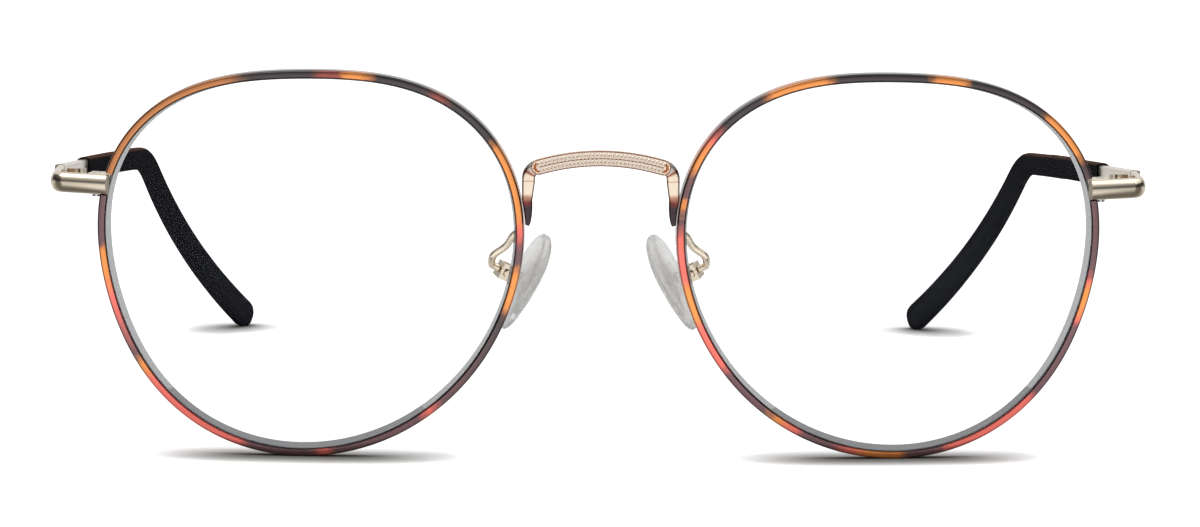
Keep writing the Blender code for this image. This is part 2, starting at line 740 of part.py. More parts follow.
def temple_ring(distance, section):
    """A section set square to the temple's line, its first coordinate outwards, its second up."""
    step = TEMPLE_ROUNDING
    here = temple_point(distance)
    along = (temple_point(distance + step) - temple_point(distance - step)).normalized()
    outward = along.cross(Vector((0, 0, 1))).normalized()
    upward = outward.cross(along)
    return [here + outward * across + upward * up for across, up in section]


def core_start():
    """Where the bar starts to thin, just outside the sleeve's mouth."""
    return SLEEVE_START - SEAT_GAP


def core_end():
    """Where the core wire ends inside the sleeve."""
    return TEMPLE_LENGTH - CORE_END_MARGIN


def core_section(distance, margin):
    """The bar's section, which thins to the square-cut core wire inside the sleeve."""
    share = min(max((distance - core_start()) / CORE_TAPER, 0.0), 1.0)
    width = TEMPLE_THICKNESS + share * (CORE_WIDTH - TEMPLE_THICKNESS)
    height = TEMPLE_HEIGHT + share * (CORE_WIDTH - TEMPLE_HEIGHT)
    return chamfered(width / 2 + margin, height / 2 + margin, TEMPLE_ROUNDING)


def core_distances(start, end):
    """Where the temple and its bore have rings: few on straight runs, more where it bends."""
    arc = TEMPLE_DROP_RADIUS * TEMPLE_DROP_ANGLE
    thin = core_start() + CORE_TAPER
    spots = [start, core_start(), thin, *steps_between(thin, TEMPLE_DROP_START, LEAD_STEPS)]
    spots += steps_between(TEMPLE_DROP_START, TEMPLE_DROP_START + arc, BEND_STEPS)
    spots += steps_between(TEMPLE_DROP_START + arc, end, TAIL_STEPS)
    return sorted(set(spots))


def steps_between(start, end, count):
    """Evenly spaced distances from just past a start up to an end."""
    return [start + (end - start) * step / count for step in range(1, count + 1)]


def make_temple(hinge):
    """The metal bar and its core wire, with its front end cut square at the hinge."""
    spots = core_distances(SEAT_GAP, core_end())
    rings = [temple_ring(spot, core_section(spot, 0)) for spot in spots]
    return make_loft("left_temple", hinge, rings)


def sleeve_section(distance):
    """The sleeve's section: an oval that grows to the tip and is rounded off at its end."""
    if distance < TEMPLE_DROP_START:
        share = (distance - SLEEVE_START) / (TEMPLE_DROP_START - SLEEVE_START)
        height = SLEEVE_FRONT_HEIGHT + share * (SLEEVE_DROP_HEIGHT - SLEEVE_FRONT_HEIGHT)
        width = SLEEVE_FRONT_WIDTH + share * (SLEEVE_DROP_WIDTH - SLEEVE_FRONT_WIDTH)
    else:
        share = (distance - TEMPLE_DROP_START) / (TEMPLE_LENGTH - TEMPLE_DROP_START)
        height = SLEEVE_DROP_HEIGHT + share * (SLEEVE_TIP_HEIGHT - SLEEVE_DROP_HEIGHT)
        width = SLEEVE_DROP_WIDTH + share * (SLEEVE_TIP_WIDTH - SLEEVE_DROP_WIDTH)
    past = max(0.0, distance - (TEMPLE_LENGTH - SLEEVE_END_ROUND)) / SLEEVE_END_ROUND
    shrink = math.sqrt(max(0.0, 1 - past ** 2))
    section = []
    for step in range(SLEEVE_POINTS):
        turn = 2 * math.pi * (step + 0.5) / SLEEVE_POINTS
        across, up = math.cos(turn), math.sin(turn)
        power = SLEEVE_SQUARENESS_POWER
        squareness = (abs(across) ** power + abs(up) ** power) ** (1 / power)
        section.append((
            width / 2 * across / squareness * shrink,
            height / 2 * up / squareness * shrink,
        ))
    return section


def make_sleeve(hinge):
    """The sleeve, bored to slide over the end of the bar and its core wire."""
    arc = TEMPLE_DROP_RADIUS * TEMPLE_DROP_ANGLE
    last = TEMPLE_LENGTH - SLEEVE_END_ROUND
    spots = [SLEEVE_START, *steps_between(SLEEVE_START, TEMPLE_DROP_START, SLEEVE_LEAD_STEPS)]
    spots += steps_between(TEMPLE_DROP_START, TEMPLE_DROP_START + arc, BEND_STEPS)
    spots += steps_between(TEMPLE_DROP_START + arc, last, SLEEVE_TAIL_STEPS)
    spots += [last + SLEEVE_END_ROUND * math.sin(turn) for turn in SLEEVE_END_TURNS]
    sleeve = make_loft("left_temple_sleeve", hinge, [temple_ring(s, sleeve_section(s)) for s in spots])
    reach = core_distances(SLEEVE_START - CUT_OVERRUN, core_end() + SEAT_GAP)
    rings = [temple_ring(spot, core_section(spot, SEAT_GAP)) for spot in reach]
    return combine(sleeve, make_loft("bore", hinge, rings), "DIFFERENCE")


def pad_ring(across_share, depth):
    """The pad's outline drawn in to a share of its size, in the pad frame at a depth."""
    ring = []
    for step in range(PAD_POINTS):
        turn = 2 * math.pi * step / PAD_POINTS
        up = math.sin(turn)
        narrowing = 1 + PAD_NARROWING_SHARE * up
        y = math.cos(turn) * PAD_WIDTH / 2 * across_share * narrowing
        ring.append(Vector((depth, y, up * PAD_LENGTH / 2 * across_share - PAD_DROP)))
    return ring


def make_pad(pivot):
    """A teardrop pad, domed to the nose, moulded round the insert's flange."""
    rings = []
    for across_share, depth_share in zip(PAD_OUTLINE_SHARES, PAD_DEPTH_SHARES):
        rings.append(pad_ring(across_share, -PAD_STANDOFF - depth_share * PAD_THICKNESS))
    pad = make_loft("left_nose_pad", pivot, rings)
    flange, tongue = insert_blocks(pivot, SEAT_GAP)
    return combine(combine(pad, tongue, "DIFFERENCE"), flange, "DIFFERENCE")


def insert_blocks(pivot, margin):
    """The insert's flange inside the pad, and its tongue out to the screw."""
    flange_face = PAD_STANDOFF + PAD_FLANGE_DEPTH
    flange = make_box(
        "flange", pivot,
        (-flange_face - PAD_FLANGE_THICKNESS - margin, -PAD_FLANGE_WIDTH / 2 - margin,
         -PAD_FLANGE_LENGTH / 2 - margin),
        (-flange_face + margin, PAD_FLANGE_WIDTH / 2 + margin, PAD_FLANGE_LENGTH / 2 + margin),
    )
    tongue = make_box(
        "tongue", pivot,
        (-flange_face - PAD_FLANGE_THICKNESS / 2, -PAD_TONGUE_THICKNESS / 2 - margin,
         -PAD_TONGUE_HEIGHT / 2 - margin),
        (0, PAD_TONGUE_THICKNESS / 2 + margin, PAD_TONGUE_HEIGHT / 2 + margin),
    )
    return flange, tongue


def make_insert(pivot):
    """The stiff core of the pad: a flange, and a tongue with a round bored end."""
    flange, tongue = insert_blocks(pivot, 0)
    flange.name = "left_pad_insert"
    insert = combine(flange, tongue, "UNION")
    half = PAD_TONGUE_THICKNESS / 2
    eye = make_cylinder(
        "eye", pivot, PAD_TONGUE_HEIGHT / 2, (0, -half, 0), (0, half, 0), PAD_EYE_SIDES,
    )
    insert = combine(insert, eye, "UNION")
    cut = half + CUT_OVERRUN
    bore_radius = PAD_SCREW_RADIUS + RUNNING_GAP
    bore = make_cylinder("bore", pivot, bore_radius, (0, -cut, 0), (0, cut, 0), PAD_BORE_SIDES)
    return combine(insert, bore, "DIFFERENCE")


def make_pad_box(pivot):
    """The small clevis on the arm that the tongue rocks in."""
    half_width, half_height = PAD_BOX_WIDTH / 2, PAD_BOX_HEIGHT / 2
    box = make_box(
        "left_pad_box", pivot,
        (-PAD_BOX_REACH, -half_width, -half_height), (PAD_BOX_REACH, half_width, half_height),
    )
    floor = PAD_TONGUE_HEIGHT / 2 + RUNNING_GAP
    slot_half = PAD_TONGUE_THICKNESS / 2 + RUNNING_GAP
    slot = make_box(
        "slot", pivot,
        (-PAD_BOX_REACH - CUT_OVERRUN, -slot_half, -half_height - CUT_OVERRUN),
        (floor, slot_half, half_height + CUT_OVERRUN),
    )
    box = combine(box, slot, "DIFFERENCE")
    cut = half_width + CUT_OVERRUN
    bore_radius = PAD_SCREW_RADIUS + RUNNING_GAP
    bore = make_cylinder("bore", pivot, bore_radius, (0, -cut, 0), (0, cut, 0), PAD_BORE_SIDES)
    return combine(box, bore, "DIFFERENCE")


def make_pad_screw(pivot):
    """The screw through the box and tongue, its head to the front."""
    half = PAD_BOX_WIDTH / 2
    return make_screw(
        "left_pad_screw", pivot, PAD_SCREW_RADIUS, PAD_HEAD_RADIUS, PAD_HEAD_HEIGHT,
        (0, -half - RUNNING_GAP, 0), (0, half, 0),
    )


def arm_path(eye, pivot):
    """The arm's wire, read from a smooth curve through its route."""
    bpy.context.view_layer.update()
    to_front = front.matrix_world.inverted()
    foot = outline_point(nose_side_angle(ARM_FOOT_LEVEL), (RIM_LIP - RIM_WALL) / 2)
    back = lens_middle(foot.x, foot.y) - RIM_DEPTH / 2 - SEAT_GAP
    start = to_front @ eye.matrix_world @ Vector((foot.x, foot.y, back))
    seat = PAD_BOX_REACH + SEAT_GAP
    end = to_front @ pivot.matrix_world @ Vector((seat, 0, 0))
    before_end = to_front @ pivot.matrix_world @ Vector((seat + 2 * ARM_RADIUS, 0, 0))
    behind = start + Vector((0, 2 * ARM_RADIUS, 0))
    screw = to_front @ pivot.matrix_world.translation
    way = screw + Vector((ARM_LOOP_WIDTH, 0, 0)) - start
    route = [
        start + Vector((across * way.x, back_share * way.y, down * way.z))
        for across, back_share, down in ARM_ROUTE_SHARES
    ]
    knots = [start, behind, *route, before_end, end]
    points = [start]
    for index in range(1, len(knots) - 2):
        first, second, third, fourth = knots[index - 1:index + 3]
        for step in range(ARM_STEPS):
            points.append(catmull_rom(first, second, third, fourth, step / ARM_STEPS))
    return points + [before_end, end]


def catmull_rom(first, second, third, fourth, share):
    """A point between the two middle knots of a smooth curve through all four."""
    return 0.5 * (
        2 * second
        + (third - first) * share
        + (2 * first - 5 * second + 4 * third - fourth) * share ** 2
        + (3 * second - first - 3 * third + fourth) * share ** 3
    )


def make_pad_arm(eye, pivot):
    """A round wire with filled ends."""
    curve = make_poly_curve("left_pad_arm", arm_path(eye, pivot), False)
    curve.bevel_depth = ARM_RADIUS
    curve.bevel_resolution = 2
    return bake(add_object("left_pad_arm", curve, front))


def mirror_piece(piece, guides):
    """The same piece on the wearer's right side."""
    mesh = piece.data.copy()
    mesh.transform(Matrix.Diagonal((-1, 1, 1, 1)))
    mesh.flip_normals()
    name = piece.name.replace("left_", "right_")
    mesh.name = name
    return add_object(name, mesh, guides.get(piece.parent, piece.parent))


def lowest(pieces):
    """The lowest corner of some pieces in the world."""
    corners = [piece.matrix_world @ vertex.co for piece in pieces for vertex in piece.data.vertices]
    return min(corners, key=lambda corner: corner.z)


def stand(rims, sleeves):
    """Lean the front until rims and sleeve tips touch one level, and centre it over the origin."""
    for _ in range(STAND_ROUNDS):
        bpy.context.view_layer.update()
        rim_low, tip_low = lowest(rims), lowest(sleeves)
        front.rotation_euler.x -= math.atan2(tip_low.z - rim_low.z, tip_low.y - rim_low.y)
    bpy.context.view_layer.update()
    pieces = list(parts.objects)
    corners = [piece.matrix_world @ vertex.co for piece in pieces for vertex in piece.data.vertices]
    depths = [corner.y for corner in corners]
    front.location.y -= (min(depths) + max(depths)) / 2
    front.location.z -= min(corner.z for corner in corners)
    bpy.context.view_layer.update()


def finish(pieces):
    """Give each piece its own material, and shade it smooth but for its sharp edges."""
    looks = {
        "rim": (TORTOISE, 0.0, 0.25, 1.0),
        "lens": (CLEAR, 0.0, 0.02, 0.35),
        "nose_pad": (SILICONE, 0.0, 0.20, 0.6),
        "temple_sleeve": (DARK_ACETATE, 0.0, 0.35, 1.0),
        "endpiece": (PALE_GOLD, 1.0, 0.15, 1.0),
        "temple": (PALE_GOLD, 1.0, 0.20, 1.0),
        "bridge": (ROSE_GOLD, 1.0, 0.15, 1.0),
        "pad_arm": (ROSE_GOLD, 1.0, 0.15, 1.0),
        "pad_box": (ROSE_GOLD, 1.0, 0.20, 1.0),
        "pad_insert": (SILICONE, 0.0, 0.30, 1.0),
    }
    for piece in pieces:
        kind = piece.name.replace("left_", "").replace("right_", "")
        piece.data.materials.clear()
        piece.data.materials.append(make_material(piece.name, *looks.get(kind, (STEEL, 1.0, 0.25, 1.0))))
        piece.data.shade_smooth()
        piece.data.set_sharp_from_angle(angle=EDGE_ANGLE)


def place_lock(eye):
    """The rim lock's guide: at the split, turned with the rim's wall, on the endpiece's back face."""
    bpy.context.view_layer.update()
    edge = outline_point(temple_side_angle(endpiece_level()))
    place = eye.matrix_world @ Vector((edge.x, edge.y, lens_middle(edge.x, edge.y)))
    turn = LENS_WRAP + math.atan2(edge.x, LENS_FRONT_RADIUS)
    forward = RIM_DEPTH / 2 + ENDPIECE_PROUD - ENDPIECE_THICKNESS
    step = Vector((math.sin(turn), -math.cos(turn), 0)) * forward
    return make_empty("left_lock", front, place + step, (0, 0, turn))


def make_lock_screw(lock):
    """The screw up through both halves of the rim lock, its head below them."""
    x, y = lock_screw_place()
    return make_screw(
        "left_rim_lock_screw", lock, LOCK_SCREW_RADIUS, LOCK_HEAD_RADIUS, LOCK_HEAD_HEIGHT,
        (x, y, -ENDPIECE_HEIGHT / 2 - RUNNING_GAP), (x, y, ENDPIECE_HEIGHT / 2),
    )


clear_scene()
parts = bpy.data.collections.new("reading_glasses")
cutters = bpy.data.collections.new("cutters")
bpy.context.scene.collection.children.link(parts)
bpy.context.scene.collection.children.link(cutters)

drawn_box = outline_box()
front = make_empty("front", None)
eye_x = (LENS_SPACING + LENS_WIDTH) / 2
left_eye = make_empty("left_eye", front, (eye_x, 0, 0), (math.pi / 2, 0, LENS_WRAP))
left_lock = place_lock(left_eye)
hinge_place = (hinge_pin_x(), endpiece_line(left_lock)[1].y + HINGE_RUN, endpiece_level())
left_hinge = make_empty("left_hinge", front, hinge_place, (-HINGE_TILT, 0, 0))
pad_place = (PAD_PIVOT_SPREAD, PAD_PIVOT_SETBACK, -PAD_PIVOT_DROP)
left_pad_pivot = make_empty("left_pad_pivot", front, pad_place, (0, -PAD_SLANT, -PAD_SPLAY), "ZYX")

left_pieces = [
    make_rim(left_eye, ENDPIECE_HEIGHT / 2 + SEAT_GAP),
    make_lens(left_eye),
    make_endpiece(left_lock, left_hinge),
    make_lock(left_lock, 1, "left_rim_lock_upper"),
    make_lock(left_lock, -1, "left_rim_lock_lower"),
    make_lock_screw(left_lock),
    *make_hinge(left_hinge),
    make_temple(left_hinge),
    make_sleeve(left_hinge),
    make_pad_arm(left_eye, left_pad_pivot),
    make_pad_box(left_pad_pivot),
    make_pad_screw(left_pad_pivot),
    make_insert(left_pad_pivot),
    make_pad(left_pad_pivot),
]
make_bridge()

mirrored_guides = {
    guide: mirrored_empty(guide.name.replace("left_", "right_"), guide)
    for guide in (left_eye, left_hinge, left_pad_pivot, left_lock)
}
for left_piece in left_pieces:
    mirror_piece(left_piece, mirrored_guides)

stand(
    [bpy.data.objects["left_rim"], bpy.data.objects["right_rim"]],
    [bpy.data.objects["left_temple_sleeve"], bpy.data.objects["right_temple_sleeve"]],
)
finish(list(parts.objects))
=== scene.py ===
"""Looks of a pair of reading glasses with a beaded bridge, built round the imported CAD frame.

X runs across the face, +X to the wearer's left, Y from the front at -Y to the ear tips, Z is up. The
front's pieces are drawn in an upright front frame, whose Y = 0 touches the middle of the lenses and
whose Z = 0 is the middle height of the lenses, and are then leaned with it.
"""

import json
import math

import bmesh
import bpy
from bpy.props import FloatProperty, FloatVectorProperty, IntProperty, PointerProperty
from mathutils import Matrix, Vector


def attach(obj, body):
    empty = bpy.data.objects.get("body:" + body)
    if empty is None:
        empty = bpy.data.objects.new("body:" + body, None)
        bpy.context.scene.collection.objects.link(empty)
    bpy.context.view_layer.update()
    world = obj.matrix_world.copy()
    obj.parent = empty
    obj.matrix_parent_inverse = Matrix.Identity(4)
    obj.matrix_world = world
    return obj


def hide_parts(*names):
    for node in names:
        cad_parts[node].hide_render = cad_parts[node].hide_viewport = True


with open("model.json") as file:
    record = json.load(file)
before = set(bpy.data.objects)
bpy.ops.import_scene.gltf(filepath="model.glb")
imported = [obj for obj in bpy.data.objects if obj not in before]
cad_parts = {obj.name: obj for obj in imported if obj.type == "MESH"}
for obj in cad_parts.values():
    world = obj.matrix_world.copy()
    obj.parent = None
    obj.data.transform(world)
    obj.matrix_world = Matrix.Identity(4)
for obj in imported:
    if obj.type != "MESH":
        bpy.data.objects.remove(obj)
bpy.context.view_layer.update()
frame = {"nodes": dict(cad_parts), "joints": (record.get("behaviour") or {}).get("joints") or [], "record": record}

bl_info = {
    "name": "Reading Glasses",
    "version": (1, 0, 0),
    "blender": (4, 5, 0),
    "location": "View3D > Sidebar > Glasses",
    "description": "Builds the visible pieces and materials of a pair of reading glasses",
    "category": "Add Mesh",
}

MM = 0.001
WELD_DISTANCE = 0.0001 * MM
SIDES = (("left", False), ("right", True))
FULL_TURN = 2 * math.pi
UP = Vector((0, 0, 1))

# Form of the lens outline, as shares of its box
OUTLINE_BROW_SHARE = -0.087
OUTLINE_CORNER_SHARE = 0.039
OUTLINE_LEAN_SHARE = 0.0174
OUTLINE_SQUARE_SHARE = 0.0105
OUTLINE_TURN = math.radians(-5.56)
OUTLINE_BOX_STEPS = 720
OUTLINE_STEP = math.pi / 400
LEVEL_ROUNDS = 40

# Tortoise patches once round each rim, clockwise from the top as seen from the front. A colour ramp
# holds 32 stops, so each rim has a late table that carries on where its first one ends
RIGHT_PATCH_SHARES = (
    (0.000, "brown"), (0.010, "red"), (0.024, "red"), (0.032, "amber"), (0.044, "amber"),
    (0.054, "brown"), (0.092, "brown"), (0.103, "red"), (0.115, "brown"), (0.152, "brown"),
    (0.162, "amber"), (0.212, "amber"), (0.222, "coral"), (0.236, "plum"), (0.246, "plum"),
    (0.256, "amber"), (0.277, "amber"), (0.290, "brown"), (0.380, "plum"), (0.391, "coral"),
    (0.402, "plum"), (0.478, "plum"), (0.489, "coral"), (0.500, "plum"), (0.552, "plum"),
    (0.560, "coral"), (0.645, "coral"), (0.660, "amber"), (0.672, "plum"), (0.722, "coral"),
    (0.740, "amber"), (0.756, "amber"),
)
RIGHT_LATE_SHARES = (
    (0.756, "amber"), (0.764, "plum"), (0.806, "plum"), (0.814, "tan"), (0.930, "tan"),
    (0.950, "brown"), (1.000, "brown"),
)
LEFT_PATCH_SHARES = (
    (0.000, "brown"), (0.028, "brown"), (0.038, "amber"), (0.056, "amber"), (0.066, "brown"),
    (0.124, "brown"), (0.134, "amber"), (0.164, "amber"), (0.174, "brown"), (0.200, "plum"),
    (0.255, "plum"), (0.262, "coral"), (0.268, "amber"), (0.284, "amber"), (0.292, "coral"),
    (0.301, "plum"), (0.362, "plum"), (0.372, "coral"), (0.445, "coral"), (0.455, "plum"),
    (0.480, "plum"), (0.488, "amber"), (0.518, "amber"), (0.530, "coral"), (0.549, "plum"),
    (0.573, "plum"), (0.583, "coral"), (0.600, "amber"), (0.612, "plum"), (0.656, "plum"),
    (0.666, "coral"), (0.700, "coral"),
)
LEFT_LATE_SHARES = (
    (0.700, "coral"), (0.709, "amber"), (0.733, "amber"), (0.743, "coral"), (0.774, "coral"),
    (0.784, "plum"), (0.790, "plum"), (0.797, "amber"), (0.805, "plum"), (0.816, "plum"),
    (0.826, "amber"), (0.838, "amber"), (0.848, "coral"), (0.862, "brown"), (0.896, "brown"),
    (0.906, "amber"), (0.944, "amber"), (0.954, "brown"), (1.000, "brown"),
)

# How light the colour is at shares of the way round a section: painted shade, darker at the wire's edges round a
# bright front face, and on the rim also in its groove and at its back
RIM_SHADE_SHARES = (
    (0.000, 0.45), (0.044, 0.50), (0.066, 1.00), (0.148, 1.00), (0.170, 0.75), (0.215, 0.80),
    (0.300, 0.80), (0.900, 0.80), (1.000, 0.60),
)
STRAP_SHADE_SHARES = (
    (0.000, 0.50), (0.500, 0.35), (0.536, 0.40), (0.550, 1.00), (0.615, 1.00), (0.629, 0.40),
    (0.665, 0.35), (1.000, 0.50),
)

# Pad form: shares of its outline and of its thickness, from the face towards the nose
PAD_OUTLINE_SHARES = (0.80, 0.95, 1.00, 0.96, 0.80, 0.50)
PAD_DEPTH_SHARES = (0.00, 0.12, 0.35, 0.62, 0.85, 0.97)

# Rings of the lens's two faces, as shares of the way out
LENS_RING_SHARES = (0.02, 0.12, 0.25, 0.38, 0.50, 0.62, 0.73, 0.83, 0.92)

# Steps along the bridge's legs, corners, arch and band, and round the band's ends
LEG_STEPS = 24
CORNER_STEPS = 12
ARCH_STEPS = 60
BAND_STEPS = 60
BAND_END_STEPS = 12

# Largest rounding of the strap's edges, as a share of its width
LEG_ROUNDING_SHARE = 0.3

# Beads, the marks of painted shade that lean through them and the curls at the band's ends: length as a share of
# the beads' pitch, depth and height as shares of a bead's, and lean as a share of the beads' lean
BEAD_SHARES = (1.12, 1.0, 1.0, 1.0)
SHADE_MARK_SHARES = (0.5, 1.32, 0.5, 1.4)
CURL_SHARES = (0.8, 1.0, 0.5, 0.0)

# How far the curls stand off the band's end, as a share of a row's height, and beads in each
CURL_REACH_SHARE = 0.62
CURL_BEADS = 5

# Power by which the crowned face falls away at its edges
ROLL_OFF_POWER = 10

# Half of the stretch over which the temple's direction is taken
LINE_STEP = 0.25 * MM

# Temples: radius of their edges, and steps of their taper and core wire
TEMPLE_ROUNDING = 0.27 * MM
TAPER_STEPS = 4
CORE_STEPS = 60

# Sleeves: steps over their rounded end, how square the oval and its mouth are, and the edge's share
TIP_STEPS = 10
SLEEVE_POWER = 3
MOUTH_POWER = 12
MOUTH_EDGE_SHARE = 0.93

# Pads: steps through them and points round them, rings that close the face, and steps to its middle
PAD_STEPS = 20
PAD_POINTS = 48
PAD_CLOSE_RINGS = 4
PAD_CLOSE_STEPS = 4.4

# Steps between two knots of a pad arm
ARM_STEPS = 12

# Sides of the wires
ARM_SIDES = 20
BORDER_SIDES = 10
RIDGE_SIDES = 8

# Camera, fitted to the photograph's view: turns to the side, down and about its own line
CAMERA_TURNS = (math.radians(1.176), math.radians(5.688), math.radians(0.419))
CAMERA_DISTANCE = 505.0 * MM
CAMERA_TARGET = Vector((-0.05 * MM, -72.0 * MM, 24.00 * MM))
CAMERA_LENS = 127.84
CAMERA_SENSOR = 36.0
CAMERA_CLIP = (10 * MM, 20.0)

# Lamps, with the place, side and power of each, and the point that they face
LAMPS = (
    ("key_lamp", (-0.35, -0.35, 0.75), 0.7, 3.2),
    ("fill_lamp", (0.55, -0.10, 0.60), 0.8, 1.8),
)
LAMP_TARGET = Vector((0, 0, 0.02))

# Half of the floor's side
FLOOR_HALF = 3.0

# Where the endpieces turn back, from which the dark cards spread on the floor
CARD_CORNER = (65 * MM, 70 * MM)

# How far the floor's painted contact shadow reaches under the glasses, and how steeply it darkens
CONTACT_SHADOW_REACH = 6.5 * MM
CONTACT_SHADOW_POWER = 4.0

# Arm route: shares of the way across, back and down from the arm's foot to the pad's screw
ARM_ROUTE_SHARES = ((0.33, 0.30, 0.15), (0.62, 0.50, 0.40), (1.10, 0.66, 0.62))


def length(name, millimetres, description):
    """A length that the user may change."""
    return FloatProperty(
        name=name, default=millimetres * MM, description=description, unit="LENGTH", precision=5,
    )


def turn(name, degrees, description):
    """An angle that the user may change."""
    return FloatProperty(
        name=name, default=math.radians(degrees), description=description, unit="ROTATION",
    )


def share(name, value, description):
    """A share that the user may change."""
    return FloatProperty(name=name, default=value, description=description, subtype="FACTOR")


def tint(name, value, description):
    """A colour that the user may change."""
    return FloatVectorProperty(
        name=name, default=value, description=description, subtype="COLOR", size=3, min=0, max=1,
    )


def count(name, value, description):
    """A number of repeats or steps that the user may change."""
    return IntProperty(name=name, default=value, description=description, min=1)


class LensSizes(bpy.types.PropertyGroup):
    """Sizes of the lenses and of their ground edge."""
    width: length("Width", 50.0, "Width of the lens box")
    height: length("Height", 45.7, "Height of the lens box")
    spacing: length("Spacing", 19.5, "Distance between the two lens boxes")
    thickness: length("Thickness", 2.0, "Thickness at the middle")
    front_radius: length("Front Radius", 100.0, "Radius of the front surface")
    back_radius: length("Back Radius", 99.3, "Radius of the back surface")
    wrap: turn("Wrap", 4.5, "How far each lens is turned back at its temple side")
    bevel_height: length("Bevel Height", 0.50, "Height of the V round the edge")
    bevel_width: length("Bevel Width", 1.00, "Width of the V round the edge")
    front_inset: length("Front Inset", 0.44, "From the V's tip to the edge of the front surface")
    ground_temple: length("Ground Band, Temple", 0.65, "Ground band on the temple side and below")
    ground_nose: length("Ground Band, Nose", 0.40, "Ground band on the nose side")
    ground_top: length("Ground Band, Top", 0.22, "Ground band along the top")
    steps: count("Steps", 200, "Steps once round the edge")


class RimSizes(bpy.types.PropertyGroup):
    """Sizes of the rims' wire."""
    wall: length("Wall", 0.55, "Metal outside the lens's edge")
    lip: length("Lip", 0.42, "Metal over the lens's edge")
    depth: length("Depth", 2.00, "Depth of the wire from front to back")
    rounding: length("Rounding", 0.26, "Radius of the wire's corners")
    gap: length("Seat Gap", 0.10, "Clearance of pieces that are fixed together")
    steps: count("Steps", 260, "Steps once round the rim")


class BridgeSizes(bpy.types.PropertyGroup):
    """Sizes of the bridge and its beading."""
    top: length("Top", 14.2, "Height of the arch over the middle of the lenses")
    rise: length("Rise", 1.87, "Rise of the arch")
    half_width: length("Half Width", 9.35, "Half of the bridge's width")
    height: length("Height", 1.55, "Height of the strap")
    depth: length("Depth", 1.50, "Depth of the strap")
    setback: length("Setback", 0.35, "How far the strap's middle lies behind the lenses")
    corner: length("Corner", 1.05, "Radius of the shoulders")
    leg_foot: length("Leg Foot", 5.3, "Level of the legs' tips")
    leg_tip: length("Leg Tip", 0.45, "Width of the legs' tips")
    leg_power: FloatProperty(name="Leg Taper", default=0.6, description="Power of the legs' taper")
    rounding: length("Rounding", 0.32, "Radius of the strap's edges")
    band_height: length("Band Height", 1.85, "Height of the beaded band")
    band_thickness: length("Band Thickness", 0.35, "How far the band stands proud")
    band_half: length("Band Half Length", 8.3, "Half of the band's length")
    band_rise: length("Band Rise", 1.87, "Rise of the band's arc over the whole span")
    bead_count: count("Beads", 33, "Beads in each row")
    bead_height: length("Bead Height", 0.80, "Height of a bead")
    bead_proud: length("Bead Depth", 0.44, "Depth of a bead")
    bead_tilt: turn("Bead Tilt", 24.0, "Lean of the beads along their row")
    border: length("Border", 0.07, "Radius of the rolled border round the band")
    ridge: length("Ridge", 0.05, "Radius of the ridge between the rows")


class BarSizes(bpy.types.PropertyGroup):
    """Sizes of the endpieces and temples."""
    reach: length("Reach", 6.10, "From the lens box to the endpiece's outer face")
    level: share("Level", 0.398, "Level of the endpieces, as a share of half the lens's height")
    height: length("Height", 2.40, "Height of the bars")
    thickness: length("Thickness", 1.20, "Thickness of the bars")
    rounding: length("Rounding", 0.38, "Radius of the bars' edges")
    corner: length("Corner", 1.70, "Radius of the endpiece's turn")
    crown: length("Crown", 0.40, "How far the endpiece's face arches")
    roll_off: length("Roll Off", 0.20, "How far the face's edges fall away past the arch")
    overlap: length("Overlap", 0.35, "How far the endpiece covers the rim")
    proud: length("Proud", 0.60, "How far the endpiece stands before the rim")
    butt_gap: length("Butt Gap", 0.30, "From the endpiece's end to the hinge pin")
    temple_length: length("Temple Length", 140.0, "Length along the bar and sleeve")
    drop_start: length("Drop Start", 90.0, "Where the temple starts to bend down")
    drop_radius: length("Drop Radius", 15.0, "Radius of that bend")
    drop_angle: turn("Drop Angle", 33.5, "How far the temple bends down")
    inset: length("Inset", 14.8, "How far the tip turns in to the head")
    inset_power: FloatProperty(name="Inset Power", default=3.5, description="Power of that turn")
    core_taper: length("Core Taper", 4.0, "Length over which the bar thins in the sleeve")
    core_width: length("Core Width", 1.00, "Width of the core wire")
    core_margin: length("Core Margin", 16.0, "From the core wire's end to the tip")


class SleeveSizes(bpy.types.PropertyGroup):
    """Sizes of the temple sleeves."""
    start: length("Start", 29.0, "Where the sleeve starts along the temple")
    front_height: length("Front Height", 3.00, "Height at the front")
    front_width: length("Front Width", 2.10, "Width at the front")
    drop_height: length("Drop Height", 3.10, "Height at the bend")
    drop_width: length("Drop Width", 2.40, "Width at the bend")
    tip_height: length("Tip Height", 4.00, "Height at the tip")
    tip_width: length("Tip Width", 2.60, "Width at the tip")
    end_round: length("End Round", 2.20, "Length of the rounded end")
    mouth: length("Mouth", 2.5, "Depth of the mouth that the bar enters")
    points: count("Points", 28, "Points round the sleeve")
    steps: count("Steps", 90, "Steps along the sleeve")


class PadSizes(bpy.types.PropertyGroup):
    """Sizes of the nose pads and their arms."""
    length: length("Length", 12.6, "Length of a pad")
    width: length("Width", 5.6, "Width of a pad")
    thickness: length("Thickness", 1.8, "Thickness of a pad")
    standoff: length("Standoff", 2.40, "From the screw to the pad's back")
    drop: length("Drop", 0.20, "How far the pad's middle lies below its screw")
    slant: turn("Slant", 27.0, "Lean of the pads")
    splay: turn("Splay", 22.0, "How far the pads open to the back")
    narrowing: share("Narrowing", 0.36, "How much narrower the pad is at one end")
    box_reach: length("Box Reach", 0.90, "From the screw to the back of its box")
    wire_radius: length("Wire Radius", 0.45, "Radius of the arm's wire")
    foot_level: length("Foot Level", 4.3, "Level at which the arm leaves the rim")
    loop_width: length("Loop Width", 1.10, "How far the arm loops past the screw")


